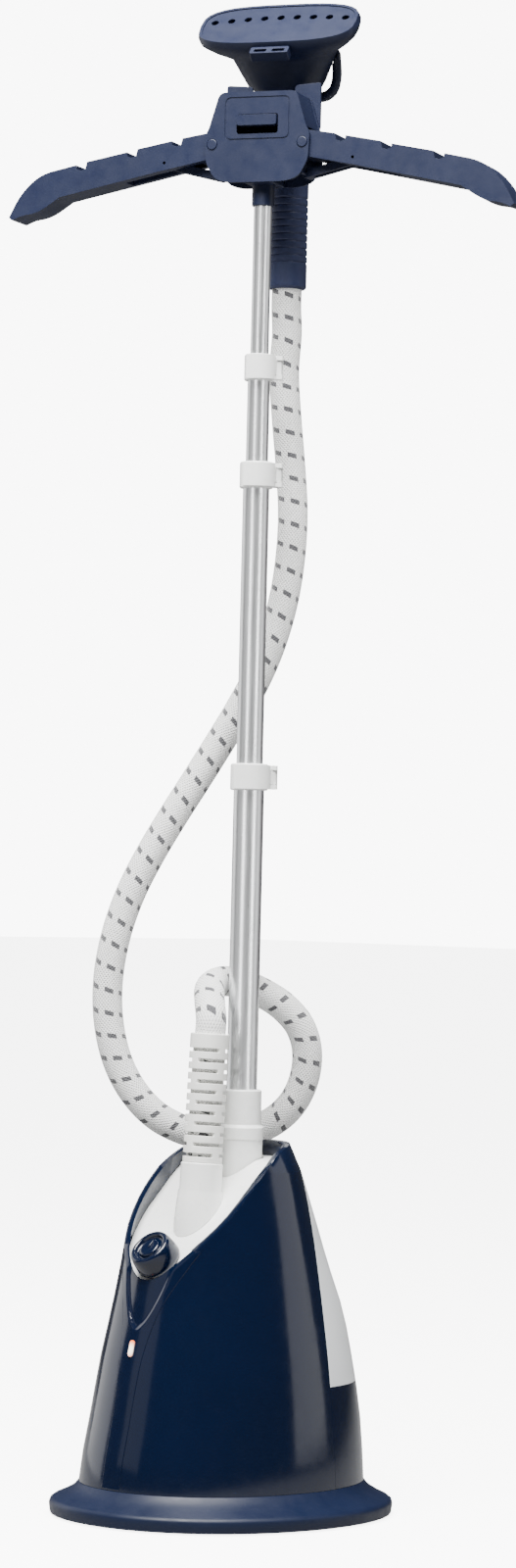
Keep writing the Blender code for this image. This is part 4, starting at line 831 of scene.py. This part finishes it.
# %% Neck between grip and head
grip_top = 1.3795
neck = turned("steam_neck", [(0.0105, -0.004), (0.0150, -0.0035), (0.0160, 0.0), (0.0150, 0.0020),
                             (0.0150, 0.0052), (0.0165, 0.0070), (0.0165, 0.0085),
                             (0.0105, 0.0090)], satin_navy,
              Matrix.Translation((grip_axis.x, grip_axis.y, grip_top)))
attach(neck, "steam_head")

# %% [markdown]
# ## Floor and light
# A pale floor and soft boxes. The two wide ones at the sides are dim, and give the glossy
# body its broad grey bands. Two low strips are what the mast mirrors, below what the sloping
# body can mirror. The high ones in front and above light the whites and soften the shadow.
# The air is bright where it is seen and dim where it is mirrored, as in a studio with a lit
# backdrop and dark flags round the set.

# %% Floor and light
floor_mesh = bpy.data.meshes.new("studio_floor")
floor_mesh.from_pydata([(-30, -30, 0), (30, -30, 0), (30, 30, 0), (-30, 30, 0)], [],
                       [(0, 1, 2, 3)])
floor = bpy.data.objects.new("studio_floor", floor_mesh)
scene.collection.objects.link(floor)
floor_paint, tree, shader = new_finish("pale_floor_paint", Roughness=0.9)
shader.inputs["Specular IOR Level"].default_value = 0.1
seen = add(tree, "ShaderNodeLightPath").outputs["Is Camera Ray"]
paint = add(tree, "ShaderNodeMix", {"data_type": "RGBA"},
            {"Factor": seen, 6: linear("#8C8C8C"), 7: linear("#F4F4F3")})
tree.links.new(paint.outputs[2], shader.inputs["Base Color"])
glow = add(tree, "ShaderNodeMath", {"operation": "MULTIPLY"}, {0: seen, 1: 6.3})
shader.inputs["Emission Color"].default_value = (1, 1, 1, 1)
tree.links.new(glow.outputs[0], shader.inputs["Emission Strength"])
floor_mesh.materials.append(floor_paint)

world = bpy.data.worlds.new("studio_air")
scene.world = world
world.use_nodes = True
tree = world.node_tree
seen = add(tree, "ShaderNodeLightPath").outputs["Is Camera Ray"]
air = add(tree, "ShaderNodeMapRange", None,
          {"Value": seen, "From Min": 0.0, "From Max": 1.0, "To Min": 0.10, "To Max": 9.0})
tree.nodes["Background"].inputs["Color"].default_value = (1, 1, 1, 1)
tree.links.new(air.outputs["Result"], tree.nodes["Background"].inputs["Strength"])


def soft_box(name, place, size, radiance, aim, lit=()):
    """An area light: place and aim are (across, toward, height), radiance as a screen's."""
    data = bpy.data.lights.new(name, "AREA")
    data.shape = "RECTANGLE"
    data.size, data.size_y = size
    data.energy = radiance * math.pi * size[0] * size[1]
    lamp = bpy.data.objects.new(name, data)
    scene.collection.objects.link(lamp)
    spots = [rightward * a + toward * t + Vector((0, 0, h)) for a, t, h in (place, aim)]
    lamp.location = spots[0]
    lamp.rotation_mode = "QUATERNION"
    lamp.rotation_quaternion = (spots[1] - spots[0]).to_track_quat("-Z", "Y")
    if lit:
        chosen = bpy.data.collections.new(name + "_lights_only")
        for obj in lit:
            chosen.objects.link(obj)
        lamp.light_linking.receiver_collection = chosen
    return lamp


soft_box("left_wall_box", (-2.2, -1.5, 1.1), (2.0, 2.2), 1.8, (0, 0, 0.9))
soft_box("right_wall_box", (2.2, 0.0, 1.1), (1.0, 2.0), 1.4, (0, 0, 0.9))
soft_box("left_front_box", (-2.0, 0.7, 1.1), (1.0, 1.6), 0.45, (0, 0, 1.0))
soft_box("right_mast_strip", (1.7, 1.6, 0.9), (0.35, 1.6), 12.0, (0, 0, 0.9), mast)
soft_box("left_mast_strip", (-1.3, 2.2, 0.9), (0.45, 1.6), 10.0, (0, 0, 0.9), mast)
soft_box("front_high_box", (-0.9, 1.9, 3.7), (2.6, 1.8), 22.0, (0, 0, 0.7))
soft_box("top_soft_box", (0.0, 1.4, 4.2), (3.0, 2.4), 20.0, (0, 0, 0.3))
soft_box("hose_fill_box", (1.2, 3.2, 1.6), (1.6, 1.6), 7.5, (0, 0, 0.6),
         [hose[0] for hose in hose_pieces])
